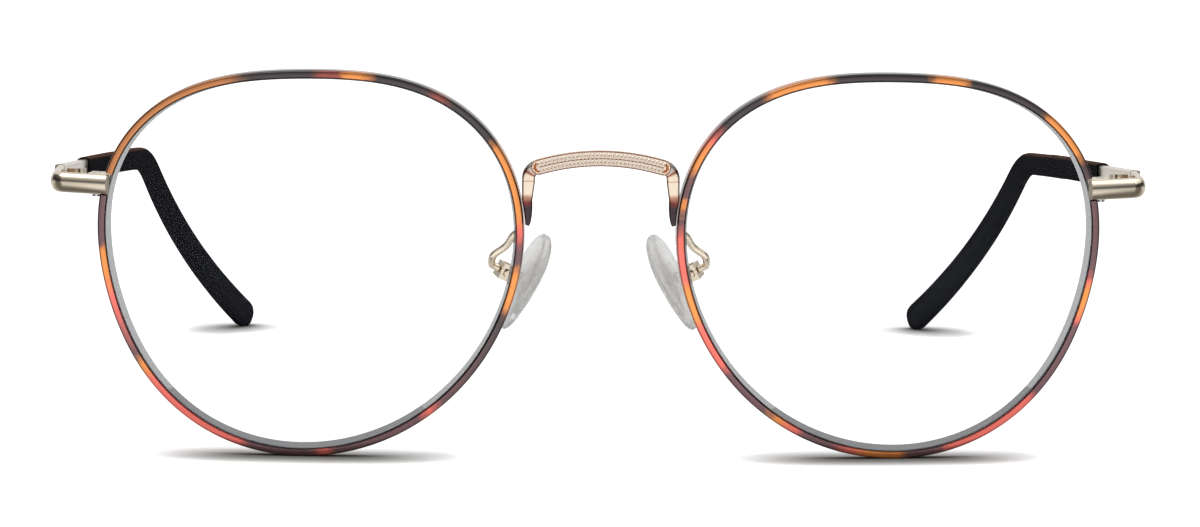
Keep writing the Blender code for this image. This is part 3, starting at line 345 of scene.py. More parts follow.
class GlassesColors(bpy.types.PropertyGroup):
    """Colours of the finishes."""
    brown: tint("Tortoise Brown", (0.050, 0.038, 0.040), "Darkest patches of the rims")
    plum: tint("Tortoise Plum", (0.170, 0.085, 0.092), "Dark patches with a purple cast")
    red: tint("Tortoise Red", (0.300, 0.065, 0.045), "Deep red patches")
    coral: tint("Tortoise Coral", (0.900, 0.170, 0.130), "Coral patches")
    amber: tint("Tortoise Amber", (0.880, 0.300, 0.068), "Amber patches")
    tan: tint("Tortoise Tan", (0.520, 0.190, 0.060), "Brown-orange patches")
    pale_gold: tint("Pale Gold", (0.800, 0.700, 0.560), "Plating of the endpieces, temples and pad arms")
    rose_gold: tint("Rose Gold", (0.830, 0.580, 0.440), "Preview colour of the bridge")
    silver: tint("Bridge Silver", (0.520, 0.470, 0.420), "Arch and shoulders of the bridge")
    cream: tint("Bridge Cream", (0.720, 0.600, 0.480), "Legs of the bridge")
    maroon: tint("Bridge Maroon", (0.160, 0.040, 0.035), "Dark lines of the bridge, above its tips")
    bronze: tint("Bridge Bronze", (0.420, 0.230, 0.150), "Thin lines of the bridge")
    bead: tint("Beads", (0.980, 0.910, 0.810), "Tops of the beads")
    # Painted shade: the orange-tan shaded side of each bead, also the colour of the curls at the band's ends
    mark: tint("Bead Marks", (0.560, 0.200, 0.070), "Marks along the beads and at the band's ends")
    bead_floor: tint("Bead Floor", (0.860, 0.700, 0.540), "The ground between the beads")
    border: tint("Bead Border", (0.300, 0.140, 0.090), "Rolled border of the beading")
    steel: tint("Screw Steel", (0.620, 0.610, 0.600), "Screws, locks and hinges")
    acetate: tint("Acetate", (0.014, 0.014, 0.016), "Sleeves")
    # Painted light: the brown that the sleeves' upward faces turn
    acetate_top_light: tint("Acetate Edge", (0.100, 0.055, 0.038), "Brown where the sleeves catch light")
    ground_edge: tint("Ground Edge", (0.145, 0.152, 0.172), "Ground band of the lenses")
    silicone: tint("Silicone", (0.990, 0.990, 0.980), "Nose pads")
    vein: tint("Silicone Vein", (0.800, 0.800, 0.790), "Darker flow lines in the nose pads")
    floor: tint("Floor", (0.800, 0.800, 0.800), "Floor and backdrop")
    card: tint("Card", (0.180, 0.172, 0.155), "What mirrors see beside the front")


class GlassesSizes(bpy.types.PropertyGroup):
    """All the sizes and colours of the glasses."""
    lens: PointerProperty(type=LensSizes)
    rim: PointerProperty(type=RimSizes)
    bridge: PointerProperty(type=BridgeSizes)
    bar: PointerProperty(type=BarSizes)
    sleeve: PointerProperty(type=SleeveSizes)
    pad: PointerProperty(type=PadSizes)
    colors: PointerProperty(type=GlassesColors)


def sizes():
    """The sizes and colours kept on the scene."""
    return bpy.context.scene.reading_glasses


def joint_named(name):
    """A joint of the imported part."""
    return next(joint for joint in frame["joints"] if joint["name"] == name)


def front_matrix():
    """Where the upright front frame stands, from the flat back of the bridge's arch."""
    bridge = sizes().bridge
    mount = next(item for item in frame["record"]["mounts"] if item["name"] == "bridge_back_face")
    lean = math.atan2(mount["axis"][2], mount["axis"][1])
    tilt = Matrix.Rotation(lean, 4, "X")
    level = bridge.top - bridge.height / 2
    on_face = Vector((0, bridge.setback + bridge.depth / 2, level))
    return Matrix.Translation(Vector(mount["pos_m"])) @ tilt @ Matrix.Translation(-on_face)


def eye_matrix():
    """The left lens's frame inside the front frame: X outwards, Y up, Z to the front."""
    lens = sizes().lens
    place = Matrix.Translation(((lens.spacing + lens.width) / 2, 0, 0))
    return place @ Matrix.Rotation(lens.wrap, 4, "Z") @ Matrix.Rotation(math.pi / 2, 4, "X")


def outline_form(angle):
    """A point of the outline before it is fitted to the lens's box."""
    lens = sizes().lens
    reach = (
        1
        + OUTLINE_BROW_SHARE * math.sin(angle)
        + OUTLINE_CORNER_SHARE * math.sin(3 * angle)
        - OUTLINE_LEAN_SHARE * math.cos(3 * angle)
        - OUTLINE_SQUARE_SHARE * math.cos(4 * angle)
    )
    point = Vector((reach * math.cos(angle), reach * math.sin(angle) * lens.height / lens.width))
    return Matrix.Rotation(OUTLINE_TURN, 2) @ point


def outline_box():
    """The low and high corners of the box round the outline, kept after the first call."""
    if not drawn_box:
        points = [outline_form(FULL_TURN * step / OUTLINE_BOX_STEPS) for step in range(OUTLINE_BOX_STEPS)]
        for end in (min, max):
            drawn_box.append(Vector((end(point.x for point in points), end(point.y for point in points))))
    return drawn_box


drawn_box = []


def outline_point(angle, inset=0.0):
    """A point of the lens's edge in the lens plane, or of its offset curve inside it."""
    lens = sizes().lens
    low, high = outline_box()

    def edge(at):
        place = outline_form(at) - (low + high) / 2
        return Vector((place.x * lens.width / (high.x - low.x), place.y * lens.height / (high.y - low.y)))

    along = (edge(angle + OUTLINE_STEP) - edge(angle - OUTLINE_STEP)).normalized()
    return edge(angle) + inset * Vector((-along.y, along.x))


def sag(radius, x, y):
    """How far a sphere of the radius has fallen back at a distance from its top."""
    return radius - math.sqrt(radius ** 2 - x ** 2 - y ** 2)


def lens_front(x, y):
    """Height of the lens's front surface over the lens plane."""
    return sizes().lens.thickness / 2 - sag(sizes().lens.front_radius, x, y)


def lens_back(x, y):
    """Height of the lens's back surface over the lens plane."""
    return -sizes().lens.thickness / 2 - sag(sizes().lens.back_radius, x, y)


def lens_middle(x, y):
    """Height halfway through the lens, where its V and the rim's groove run."""
    return (lens_front(x, y) + lens_back(x, y)) / 2


def angle_at_level(level, low, high):
    """The angle, between one below the height and one above it, where the lens's edge meets it."""
    for _ in range(LEVEL_ROUNDS):
        middle = (low + high) / 2
        if outline_point(middle).y < level:
            low = middle
        else:
            high = middle
    return (low + high) / 2


def temple_side_angle(level):
    """The angle on the temple side at which the lens's edge stands at a height."""
    return angle_at_level(level, -math.pi / 4, math.pi / 4)


def nose_side_angle(level):
    """The angle on the nose side at which the lens's edge stands at a height."""
    return angle_at_level(level, math.pi * 5 / 4, math.pi * 3 / 4)


def bar_level():
    """Height of the endpieces and hinges over the middle of the lenses."""
    return sizes().bar.level * sizes().lens.height / 2


def loft(rings, around, along):
    """A closed surface through rings of equal count, with UVs along the rings and round them."""
    work = bmesh.new()
    layer = work.loops.layers.uv.new("surface")
    rows = [[work.verts.new(point) for point in ring] for ring in rings]
    points = len(rings[0])
    for first in range(len(rows) - 1):
        second = first + 1
        for index in range(points):
            after = (index + 1) % points
            face = work.faces.new((
                rows[first][index], rows[first][after], rows[second][after], rows[second][index],
            ))
            corners = ((first, index), (first, index + 1), (second, index + 1), (second, index))
            for loop, (row, column) in zip(face.loops, corners):
                loop[layer].uv = (along[row], around[column])
    for row in (rows[0], rows[-1]):
        work.faces.new(row)
    bmesh.ops.recalc_face_normals(work, faces=work.faces)
    return work


def arc_shares(points):
    """The share of the way round a closed section at each point, and 1 at its return."""
    reach = [0.0]
    for index, point in enumerate(points):
        following = points[(index + 1) % len(points)]
        reach.append(reach[-1] + (Vector(following) - Vector(point)).length)
    return [value / reach[-1] for value in reach]


def add_object(name, data):
    """An object of the data, linked to the scene."""
    made = bpy.data.objects.new(name, data)
    bpy.context.scene.collection.objects.link(made)
    return made


def finish_piece(name, work, place, body, materials, nodes=(), sharp=40, mirrored=False):
    """Place a mesh, shade it, give it its materials and let it ride on its body."""
    work.transform(place)
    if mirrored:
        work.transform(Matrix.Diagonal((-1, 1, 1, 1)))
        bmesh.ops.reverse_faces(work, faces=work.faces)
    mesh = bpy.data.meshes.new(name)
    work.to_mesh(mesh)
    work.free()
    for material in materials:
        mesh.materials.append(material)
    mesh.shade_smooth()
    mesh.set_sharp_from_angle(angle=math.radians(sharp))
    piece = add_object(name, mesh)
    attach(piece, body)
    if nodes:
        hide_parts(*nodes)
    return piece


def even(count):
    """Places from 0 to 1, as many as asked for."""
    return [index / (count - 1) for index in range(count)]


def neighbours(path, index):
    """The entries before and after one of a path, or itself at an end."""
    return path[max(index - 1, 0)], path[min(index + 1, len(path) - 1)]


def finish_pair(kind, make, place, body, materials, node, sharp=40):
    """A left piece and its mirror image, each with its own name, body and node."""
    return [
        finish_piece(
            f"{side}_{kind}", make(), place, body if body == "front" else f"{body}_{side}",
            materials, [f"{side}_{node}"], sharp, mirrored,
        )
        for side, mirrored in SIDES
    ]


def new_material(name, color, metallic=0.0, roughness=0.3, **sockets):
    """A Principled material with plain values on its own sockets."""
    material = bpy.data.materials.new(name)
    material.use_nodes = True
    shader = material.node_tree.nodes["Principled BSDF"]
    shader.inputs["Base Color"].default_value = (*color, 1)
    shader.inputs["Metallic"].default_value = metallic
    shader.inputs["Roughness"].default_value = roughness
    for socket, value in sockets.items():
        shader.inputs[socket.replace("_", " ").title().replace("Ior", "IOR")].default_value = value
    material.diffuse_color = (*color, 1)
    return material


def add_node(tree, kind, inputs=None, **settings):
    """A node with its settings, whose inputs are fed by sockets or plain values."""
    node = tree.nodes.new(kind)
    for name, value in settings.items():
        setattr(node, name, value)
    for label, value in (inputs or {}).items():
        if isinstance(value, bpy.types.NodeSocket):
            tree.links.new(value, node.inputs[label])
        else:
            node.inputs[label].default_value = value
    return node


def feed(material, **sockets):
    """Link results to sockets of a material's shader."""
    tree = material.node_tree
    for socket, value in sockets.items():
        tree.links.new(value, tree.nodes["Principled BSDF"].inputs[socket.replace("_", " ").title()])


def math_node(tree, operation, *values):
    """The result of a math node fed by sockets or plain numbers."""
    return add_node(tree, "ShaderNodeMath", dict(enumerate(values)), operation=operation).outputs["Value"]


def product(tree, first, *others):
    """The product of sockets or plain numbers."""
    for value in others:
        first = math_node(tree, "MULTIPLY", first, value)
    return first


def largest(tree, first, *others):
    """The largest of sockets or plain numbers."""
    for value in others:
        first = math_node(tree, "MAXIMUM", first, value)
    return first


def ranged(tree, value, low, high, at_low=0.0, at_high=1.0, kind="LINEAR"):
    """A value carried from one range to another and kept inside it."""
    return add_node(tree, "ShaderNodeMapRange", {
        "Value": value, "From Min": low, "From Max": high, "To Min": at_low, "To Max": at_high,
    }, interpolation_type=kind).outputs["Result"]


def mixed(tree, factor, first, second, blend="MIX"):
    """A mix of two colours."""
    return add_node(
        tree, "ShaderNodeMix", {"Factor": factor, "A": first, "B": second},
        data_type="RGBA", blend_type=blend,
    ).outputs["Result"]


def coordinates(tree, kind):
    """The distance of a texture coordinate from the middle plane, and its Y and Z."""
    spot = add_node(tree, "ShaderNodeTexCoord").outputs[kind]
    parts = add_node(tree, "ShaderNodeSeparateXYZ", {"Vector": spot}).outputs
    return math_node(tree, "ABSOLUTE", parts["X"]), parts["Y"], parts["Z"]


def noise(tree, **inputs):
    """Noise from 0 to 1 over an object's own place."""
    spot = add_node(tree, "ShaderNodeTexCoord").outputs["Object"]
    return add_node(tree, "ShaderNodeTexNoise", {"Vector": spot, **inputs}).outputs["Fac"]


def ragged_place(tree, reach, **inputs):
    """The place along a piece, made ragged by noise, and the place round its section."""
    spread = add_node(tree, "ShaderNodeUVMap", uv_map="surface").outputs["UV"]
    parts = add_node(tree, "ShaderNodeSeparateXYZ", {"Vector": spread}).outputs
    shift = math_node(tree, "MULTIPLY_ADD", noise(tree, **inputs), reach, -reach / 2)
    return math_node(tree, "ADD", parts["X"], shift), parts["Y"]


def ramp(tree, place, stops):
    """The result of a colour ramp whose stops are (place, colour) pairs."""
    node = add_node(tree, "ShaderNodeValToRGB", {"Fac": place})
    while len(node.color_ramp.elements) < len(stops):
        node.color_ramp.elements.new(0.5)
    for element, (spot, color) in zip(node.color_ramp.elements, stops):
        element.position = spot
        element.color = (*color, 1)
    return node.outputs["Color"]


def node_group(name, kind, inputs, outputs):
    """An empty node group with named sockets, the sockets that feed it and its output node."""
    group = bpy.data.node_groups.new(name, kind)
    for direction, sockets in (("INPUT", inputs), ("OUTPUT", outputs)):
        for label, socket_kind, *value in sockets:
            socket = group.interface.new_socket(
                label, in_out=direction, socket_type="NodeSocket" + socket_kind,
            )
            if value:
                socket.default_value = value[0]
    return group, group.nodes.new("NodeGroupInput").outputs, group.nodes.new("NodeGroupOutput")


def kept(store, name, make):
    """A material or node group by name, made the first time it is asked for."""
    return store.get(name) or make(name)


def polish_group(name):
    """Fine polishing marks and handling haze: a roughness and a small height."""
    group, start, end = node_group(
        name, "ShaderNodeTree",
        [("Roughness", "Float", 0.2), ("Haze", "Float", 0.1), ("Grain", "Float", 4000.0)],
        [("Roughness", "Float"), ("Height", "Float")],
    )
    haze = noise(group, Scale=260, Detail=3)
    spread = math_node(group, "MULTIPLY_ADD", haze, start["Haze"], start["Roughness"])
    group.links.new(spread, end.inputs["Roughness"])
    group.links.new(noise(group, Scale=start["Grain"], Detail=2), end.inputs["Height"])
    return group


def add_polish(material, roughness, haze, grain, bump):
    """Give a material the shared polish with its own values."""
    tree = material.node_tree
    polish = add_node(
        tree, "ShaderNodeGroup", {"Roughness": roughness, "Haze": haze, "Grain": grain},
        node_tree=kept(bpy.data.node_groups, "polish", polish_group),
    ).outputs
    bumps = add_node(tree, "ShaderNodeBump", {
        "Strength": bump, "Distance": 0.01 * MM, "Height": polish["Height"],
    })
    feed(material, roughness=polish["Roughness"], normal=bumps.outputs["Normal"])
    return material


def plating(name, color, roughness=0.12, metallic=1.0):
    """Polished plating with faint haze, in one of the colours."""
    def make(name):
        material = new_material(name, getattr(sizes().colors, color), metallic, roughness)
        return add_polish(material, roughness, 0.10, 5000, 0.12)
    return kept(bpy.data.materials, name, make)


def pale_gold():
    """Plating of the endpieces, temples, pad arms and pad boxes."""
    return plating("pale_gold_plating", "pale_gold")


def steel():
    """Machined steel of the small screws."""
    return plating("screw_steel", "steel", 0.22)


def shade_edges(material, around, color, shares):
    """Paint shade into a colour: darken it by its place round a wire's section, and give it to the shader."""
    tree = material.node_tree
    lines = ramp(tree, around, [(place, (value,) * 3) for place, value in shares])
    feed(material, base_color=mixed(tree, 1.0, color, lines, "MULTIPLY"))


def tortoise_material(name, early, late):
    """Lacquered tortoise patches that run round the rim, with ragged soft borders."""
    colors = sizes().colors
    material = new_material(name, colors.brown, 0.80, 0.16, coat_weight=0.6, coat_roughness=0.06)
    tree = material.node_tree
    place, around = ragged_place(tree, 0.016, Scale=900, Detail=4, Roughness=0.6)
    halves = [
        ramp(tree, place, [(spot, getattr(colors, kind)) for spot, kind in stops])
        for stops in (early, late)
    ]
    joined = mixed(tree, math_node(tree, "GREATER_THAN", place, late[0][0]), *halves)
    # Painted shade: the rim's edges, groove and back are darker than its front face
    shade_edges(material, around, joined, RIM_SHADE_SHARES)
    return add_polish(material, 0.12, 0.10, 3000, 0.08)


def clear_lens():
    """Clear coated lens glass that hardly mirrors."""
    return kept(bpy.data.materials, "clear_lens_glass", lambda name: new_material(
        name, (0.985, 0.99, 0.99), 0.0, 0.0, transmission_weight=1.0, ior=1.5,
        specular_tint=(0.04, 0.05, 0.07, 1.0),
    ))


def ground_edge():
    """The frosted band ground round a lens."""
    def make(name):
        material = new_material(name, sizes().colors.ground_edge, 0.0, 0.6, alpha=0.74)
        return add_polish(material, 0.55, 0.2, 9000, 0.4)
    return kept(bpy.data.materials, "ground_lens_edge", make)


def silicone():
    """Clear soft silicone with faint flow lines."""
    def make(name):
        colors = sizes().colors
        material = new_material(name, colors.silicone, 0.0, 0.12, transmission_weight=0.50, ior=1.41)
        flow = noise(material.node_tree, Scale=520, Detail=3, Distortion=1.5)
        feed(material, base_color=ramp(material.node_tree, flow, [
            (0.30, colors.silicone), (0.46, colors.silicone), (0.50, colors.vein), (0.54, colors.silicone),
        ]))
        return add_polish(material, 0.10, 0.10, 1500, 0.4)
    return kept(bpy.data.materials, "clear_silicone_pad", make)


def acetate():
    """Near-black acetate with painted light: brown where it faces up, as if lit from above."""
    def make(name):
        colors = sizes().colors
        material = new_material(name, colors.acetate, 0.0, 0.5, specular_ior_level=0.0)
        tree = material.node_tree
        # Painted light: faces that point up turn brown, as if lit from above, with noise along the border
        facing = add_node(tree, "ShaderNodeNewGeometry").outputs["Normal"]
        up = add_node(tree, "ShaderNodeSeparateXYZ", {"Vector": facing}).outputs["Z"]
        lit = math_node(tree, "MULTIPLY_ADD", noise(tree, Scale=120, Detail=3), 0.25, up)
        feed(material, base_color=ramp(tree, lit, [(0.60, colors.acetate), (1.00, colors.acetate_top_light)]))
        return add_polish(material, 0.45, 0.12, 900, 0.0)
    return kept(bpy.data.materials, "dark_brown_acetate", make)


def pad_core():
    """The stiff core moulded into a pad."""
    def make(name):
        core = new_material(name, (0.94, 0.94, 0.93), 0.0, 0.1, transmission_weight=0.95, ior=1.43)
        return add_polish(core, 0.08, 0.1, 2500, 0.1)
    return kept(bpy.data.materials, "pad_core_nylon", make)


def rounded_section(half_width, half_height, radius, steps=5):
    """A rectangle with round corners, as (across, up) pairs running anticlockwise from the right."""
    points = []
    for side, level, start in ((1, 1, 0), (-1, 1, 90), (-1, -1, 180), (1, -1, 270)):
        for step in range(steps + 1):
            angle = math.radians(start + 90 * step / steps)
            points.append((
                side * (half_width - radius) + radius * math.cos(angle),
                level * (half_height - radius) + radius * math.sin(angle),
            ))
    return points


def crowned_section(half_width, half_height, crown, roll_off, radius, steps=24):
    """A bar's section with an arched outer face, as (across, up) pairs running anticlockwise."""
    points = []
    for step in range(steps + 1):
        part = 2 * step / steps - 1
        fall = crown * part ** 2 + roll_off * part ** ROLL_OFF_POWER
        points.append((half_width - fall, half_height * part))
    return points + [
        (radius - half_width, half_height), (-half_width, half_height - radius),
        (-half_width, radius - half_height), (radius - half_width, -half_height),
    ]


def rim_section():
    """The rim wire's section, with a V groove in its inner side, as (out, forward) pairs."""
    rim, lens = sizes().rim, sizes().lens
    half_depth = rim.depth / 2
    groove = (rim.lip + rim.gap) * lens.bevel_width / (2 * lens.bevel_height)
    middle = (rim.wall - rim.lip) / 2
    rounded = rounded_section((rim.wall + rim.lip) / 2, half_depth, rim.rounding)
    shell = [(middle + across, forward) for across, forward in rounded]
    turn_at = len(shell) // 2
    groove_points = [(-rim.lip, groove), (rim.gap, 0), (-rim.lip, -groove)]
    return shell[:turn_at] + groove_points + shell[turn_at:]


def patch_share(point, mirrored):
    """Place round the rim, clockwise from the top as the front shows it, from 0 to 1."""
    angle = math.atan2(point.y, point.x)
    return ((angle - math.pi / 2 if mirrored else math.pi / 2 - angle) / FULL_TURN) % 1.0


class GLASSES_OT_rims(bpy.types.Operator):
    """Both rims, split behind the endpieces, in tortoise lacquer"""
    bl_idname = "glasses.rims"
    bl_label = "Rims"

    def execute(self, context):
        rim = sizes().rim
        section = rim_section()
        half = sizes().bar.height / 2 + rim.gap
        start = temple_side_angle(bar_level() + half)
        end = temple_side_angle(bar_level() - half) + FULL_TURN
        edges, rings = [], []
        for step in range(rim.steps + 1):
            angle = start + (end - start) * step / rim.steps
            edge = outline_point(angle)
            outward = outline_point(angle, -1.0) - edge
            level = lens_middle(edge.x, edge.y)
            rings.append([Vector((*(edge + outward * out), level + forward)) for out, forward in section])
            edges.append(edge)
        patches = ((LEFT_PATCH_SHARES, LEFT_LATE_SHARES), (RIGHT_PATCH_SHARES, RIGHT_LATE_SHARES))
        for (side, mirrored), stops in zip(SIDES, patches):
            along = [patch_share(edge, mirrored) for edge in edges]
            for index in range(1, len(along)):
                along[index] += round(along[index - 1] - along[index])
            work = loft(rings, arc_shares(section), along)
            layer = work.loops.layers.uv.active
            for face in work.faces:
                middle = sum(loop[layer].uv.x for loop in face.loops) / len(face.loops)
                for loop in face.loops:
                    loop[layer].uv.x -= math.floor(middle)
            finish_piece(
                side + "_rim_wire", work, front_matrix() @ eye_matrix(), "front",
                [tortoise_material(side + "_tortoise_lacquer", *stops)], [side + "_rim"],
                mirrored=mirrored,
            )
        return {"FINISHED"}


class GLASSES_OT_lenses(bpy.types.Operator):
    """Both lenses, with a V round the edge and a ground band behind it"""
    bl_idname = "glasses.lenses"
    bl_label = "Lenses"

    def execute(self, context):
        lens = sizes().lens
        angles = [FULL_TURN * step / lens.steps for step in range(lens.steps)]

        def ground_width(angle):
            up = math.sin(angle)
            side = lens.ground_nose + (lens.ground_temple - lens.ground_nose) * (1 + math.cos(angle)) / 2
            far = lens.ground_top if up > 0 else lens.ground_temple
            return side + (far - side) * up ** 2

        def ring(part, insets, height, rise=0.0):
            points = [outline_point(angle, inset) * part for angle, inset in zip(angles, insets)]
            return [Vector((x, y, height(x, y) + rise)) for x, y in points]

        front, bevel, tip = ([inset] * lens.steps for inset in (lens.front_inset, lens.bevel_height, 0))
        ground = [lens.bevel_height + ground_width(angle) for angle in angles]
        half_v = lens.bevel_width / 2
        rings = [ring(part, front, lens_front) for part in (*LENS_RING_SHARES, 1)]
        rings += [
            ring(1, bevel, lens_middle, half_v), ring(1, tip, lens_middle),
            ring(1, bevel, lens_middle, -half_v),
        ]
        rings += [ring(part, ground, lens_back) for part in (1, *reversed(LENS_RING_SHARES))]
        first_ground, last_ground = len(LENS_RING_SHARES), len(LENS_RING_SHARES) + 4

        def make():
            work = loft(rings, even(lens.steps + 1), even(len(rings)))
            for index, face in enumerate(work.faces):
                face.material_index = int(first_ground <= index // lens.steps < last_ground)
            return work

        finish_pair(
            "lens_glass", make, front_matrix() @ eye_matrix(), "front",
            [clear_lens(), ground_edge()], "lens", 10,
        )
        return {"FINISHED"}


def arch_rise(x):
    """How far the bridge's arch stands over its shoulders at a distance from the middle."""
    half_span = sizes().lens.spacing / 2
    return sizes().bridge.rise * max(0.0, 1 - (x / half_span) ** 2)


def rim_outside(level):
    """Distance from the middle plane to the rim's outer wall beside the nose, at a height."""
    rim = sizes().rim
    x, y = outline_point(nose_side_angle(level), -rim.wall)
    middle = lens_middle(x, y)
    edges = [Vector((x, y, middle + side * rim.depth / 2)) for side in (1, 0)]
    return min((eye_matrix() @ edge).x for edge in edges)


def bridge_path():
    """The strap's middle line from one leg's foot to the other, as (x, z, width) triples."""
    bridge = sizes().bridge
    leg_top = bridge.top - bridge.rise - bridge.height / 2 - bridge.corner
    half = []
    for part in even(LEG_STEPS + 1):
        level = bridge.leg_foot + part * (leg_top - bridge.leg_foot)
        width = bridge.leg_tip + part ** bridge.leg_power * (bridge.height - bridge.leg_tip)
        outer = min(bridge.half_width, rim_outside(level) - sizes().rim.gap)
        half.append((outer - width / 2, level, width))
    centre_x = half[-1][0] - bridge.corner
    for step in range(1, CORNER_STEPS + 1):
        angle = math.pi / 2 * step / CORNER_STEPS
        x = centre_x + bridge.corner * math.cos(angle)
        half.append((x, leg_top + bridge.corner * math.sin(angle) + arch_rise(x), bridge.height))
    for step in range(1, ARCH_STEPS // 2 + 1):
        x = centre_x * (1 - 2 * step / ARCH_STEPS)
        half.append((x, leg_top + bridge.corner + arch_rise(x), bridge.height))
    return half + [(-x, z, width) for x, z, width in reversed(half[:-1])]


def band_spot(x, offset, angle=math.pi / 2):
    """A point near the beaded band's middle line, off it at an angle from its run, as (x, z)."""
    bridge, half_span = sizes().bridge, sizes().lens.spacing / 2
    level = bridge.top - bridge.height / 2 - bridge.band_rise * (x / half_span) ** 2
    angle += math.atan(-2 * bridge.band_rise * x / half_span ** 2)
    return x + offset * math.cos(angle), level + offset * math.sin(angle)


def band_face():
    """Where the band's front face lies."""
    bridge = sizes().bridge
    return bridge.setback - bridge.depth / 2 - bridge.band_thickness


def bridge_material():
    """Dark leg tips, cream legs and a silver arch, with maroon and bronze where they meet."""
    colors = sizes().colors
    material = plating("bridge_finish", "rose_gold", 0.10)
    tree = material.node_tree
    place, around = ragged_place(tree, 0.024, Scale=1500)
    color = ramp(tree, place, [
        (0.000, colors.brown), (0.280, colors.brown), (0.370, colors.maroon), (0.460, colors.bronze),
        (0.510, colors.cream), (0.700, colors.cream), (0.712, colors.bronze), (0.725, colors.cream),
        (0.800, colors.cream), (0.825, colors.bronze), (0.840, colors.maroon), (0.855, colors.bronze),
        (0.880, colors.silver), (1.000, colors.silver),
    ])
    # Painted shade: the strap's rounded edges are darker than the bright band on its front face
    shade_edges(material, around, color, STRAP_SHADE_SHARES)
    return material


def geometry_tree(name, inputs):
    """An empty Geometry Nodes tree that is fed a line and named values."""
    shape = ("Geometry", "Geometry")
    return node_group(name, "GeometryNodeTree", [shape, *inputs, ("Material", "Material")], [shape])


def painted(tree, shape, start, end):
    """End a tree in one real mesh with its material."""
    real = add_node(tree, "GeometryNodeRealizeInstances", {"Geometry": shape}).outputs["Geometry"]
    paint = add_node(tree, "GeometryNodeSetMaterial", {"Geometry": real, "Material": start["Material"]})
    tree.links.new(paint.outputs["Geometry"], end.inputs["Geometry"])
    return tree


def bead_tree(name):
    """A row of leaning beads spread evenly along a line."""
    tree, start, end = geometry_tree(
        name, [("Count", "Int", 30), ("Bead Size", "Vector"), ("Tilt", "Float", 0.0)],
    )
    curve = add_node(tree, "GeometryNodeMeshToCurve", {"Mesh": start["Geometry"]}).outputs["Curve"]
    points = add_node(
        tree, "GeometryNodeCurveToPoints", {"Curve": curve, "Count": start["Count"]}, mode="COUNT",
    ).outputs
    bead = add_node(tree, "GeometryNodeMeshUVSphere", {"Segments": 10, "Rings": 6, "Radius": 0.5})
    follow = add_node(
        tree, "FunctionNodeAlignRotationToVector", {"Vector": points["Tangent"]}, axis="X", pivot_axis="Y",
    )
    placed = add_node(tree, "GeometryNodeInstanceOnPoints", {
        "Points": points["Points"], "Instance": bead.outputs["Mesh"],
        "Rotation": follow.outputs["Rotation"], "Scale": start["Bead Size"],
    })
    tilt = add_node(tree, "ShaderNodeCombineXYZ", {"Y": start["Tilt"]}).outputs["Vector"]
    lean = add_node(tree, "GeometryNodeRotateInstances", {
        "Instances": placed.outputs["Instances"], "Rotation": tilt,
    })
    return painted(tree, lean.outputs["Instances"], start, end)


def wire_tree(name):
    """A round wire with closed ends along a line."""
    tree, start, end = geometry_tree(name, [("Radius", "Float", 0.4 * MM), ("Sides", "Int", 16)])
    curve = add_node(tree, "GeometryNodeMeshToCurve", {"Mesh": start["Geometry"]}).outputs["Curve"]
    circle = add_node(tree, "GeometryNodeCurvePrimitiveCircle", {
        "Radius": start["Radius"], "Resolution": start["Sides"],
    }).outputs["Curve"]
    skin = add_node(tree, "GeometryNodeCurveToMesh", {
        "Curve": curve, "Profile Curve": circle, "Fill Caps": True,
    })
    return painted(tree, skin.outputs["Mesh"], start, end)


def grow_along(points, name, make_tree, values):
    """Run a tree along a line of points and return what it makes as a plain mesh."""
    tree = kept(bpy.data.node_groups, name, make_tree)
    line = bpy.data.meshes.new("line")
    line.from_pydata([tuple(point) for point in points], [(i, i + 1) for i in range(len(points) - 1)], [])
    host = add_object("line", line)
    modifier = host.modifiers.new(tree.name, "NODES")
    modifier.node_group = tree
    for item in tree.interface.items_tree:
        if item.in_out == "INPUT" and item.name in values:
            modifier[item.identifier] = values[item.name]
    bpy.context.view_layer.update()
    mesh = bpy.data.meshes.new_from_object(host.evaluated_get(bpy.context.evaluated_depsgraph_get()))
    host.modifiers.remove(modifier)
    bpy.data.objects.remove(host)
    bpy.data.meshes.remove(line)
    return mesh


def joined(meshes):
    """Several meshes as one, welded and facing out."""
    work = bmesh.new()
    for mesh in meshes:
        work.from_mesh(mesh)
        bpy.data.meshes.remove(mesh)
    bmesh.ops.remove_doubles(work, verts=work.verts, dist=WELD_DISTANCE)
    bmesh.ops.recalc_face_normals(work, faces=work.faces)
    return work


def on_band(spots):
    """Places beside the band's middle line as points on its front face, in the front frame."""
    return [Vector((x, band_face(), z)) for x, z in spots]


def band_line(offset, reach):
    """Points along the band at a distance over its middle line, in the front frame."""
    return on_band([band_spot(reach * (2 * part - 1), offset) for part in even(BAND_STEPS + 1)])


def band_outline(half_height, half_length):
    """The band's outline with round ends, anticlockwise from its top right, as (x, z) pairs."""
    reach = half_length - half_height
    quarter = math.pi / 2
    rows = [(reach * (1 - 2 * part), quarter) for part in even(BAND_STEPS + 1)]
    turns = [math.pi * step / BAND_END_STEPS for step in range(1, BAND_END_STEPS)]
    rows += [(-reach, quarter + angle) for angle in turns]
    rows += [(reach * (2 * part - 1), -quarter) for part in even(BAND_STEPS + 1)]
    rows += [(reach, angle - quarter) for angle in turns]
    return [band_spot(x, half_height, angle) for x, angle in rows]


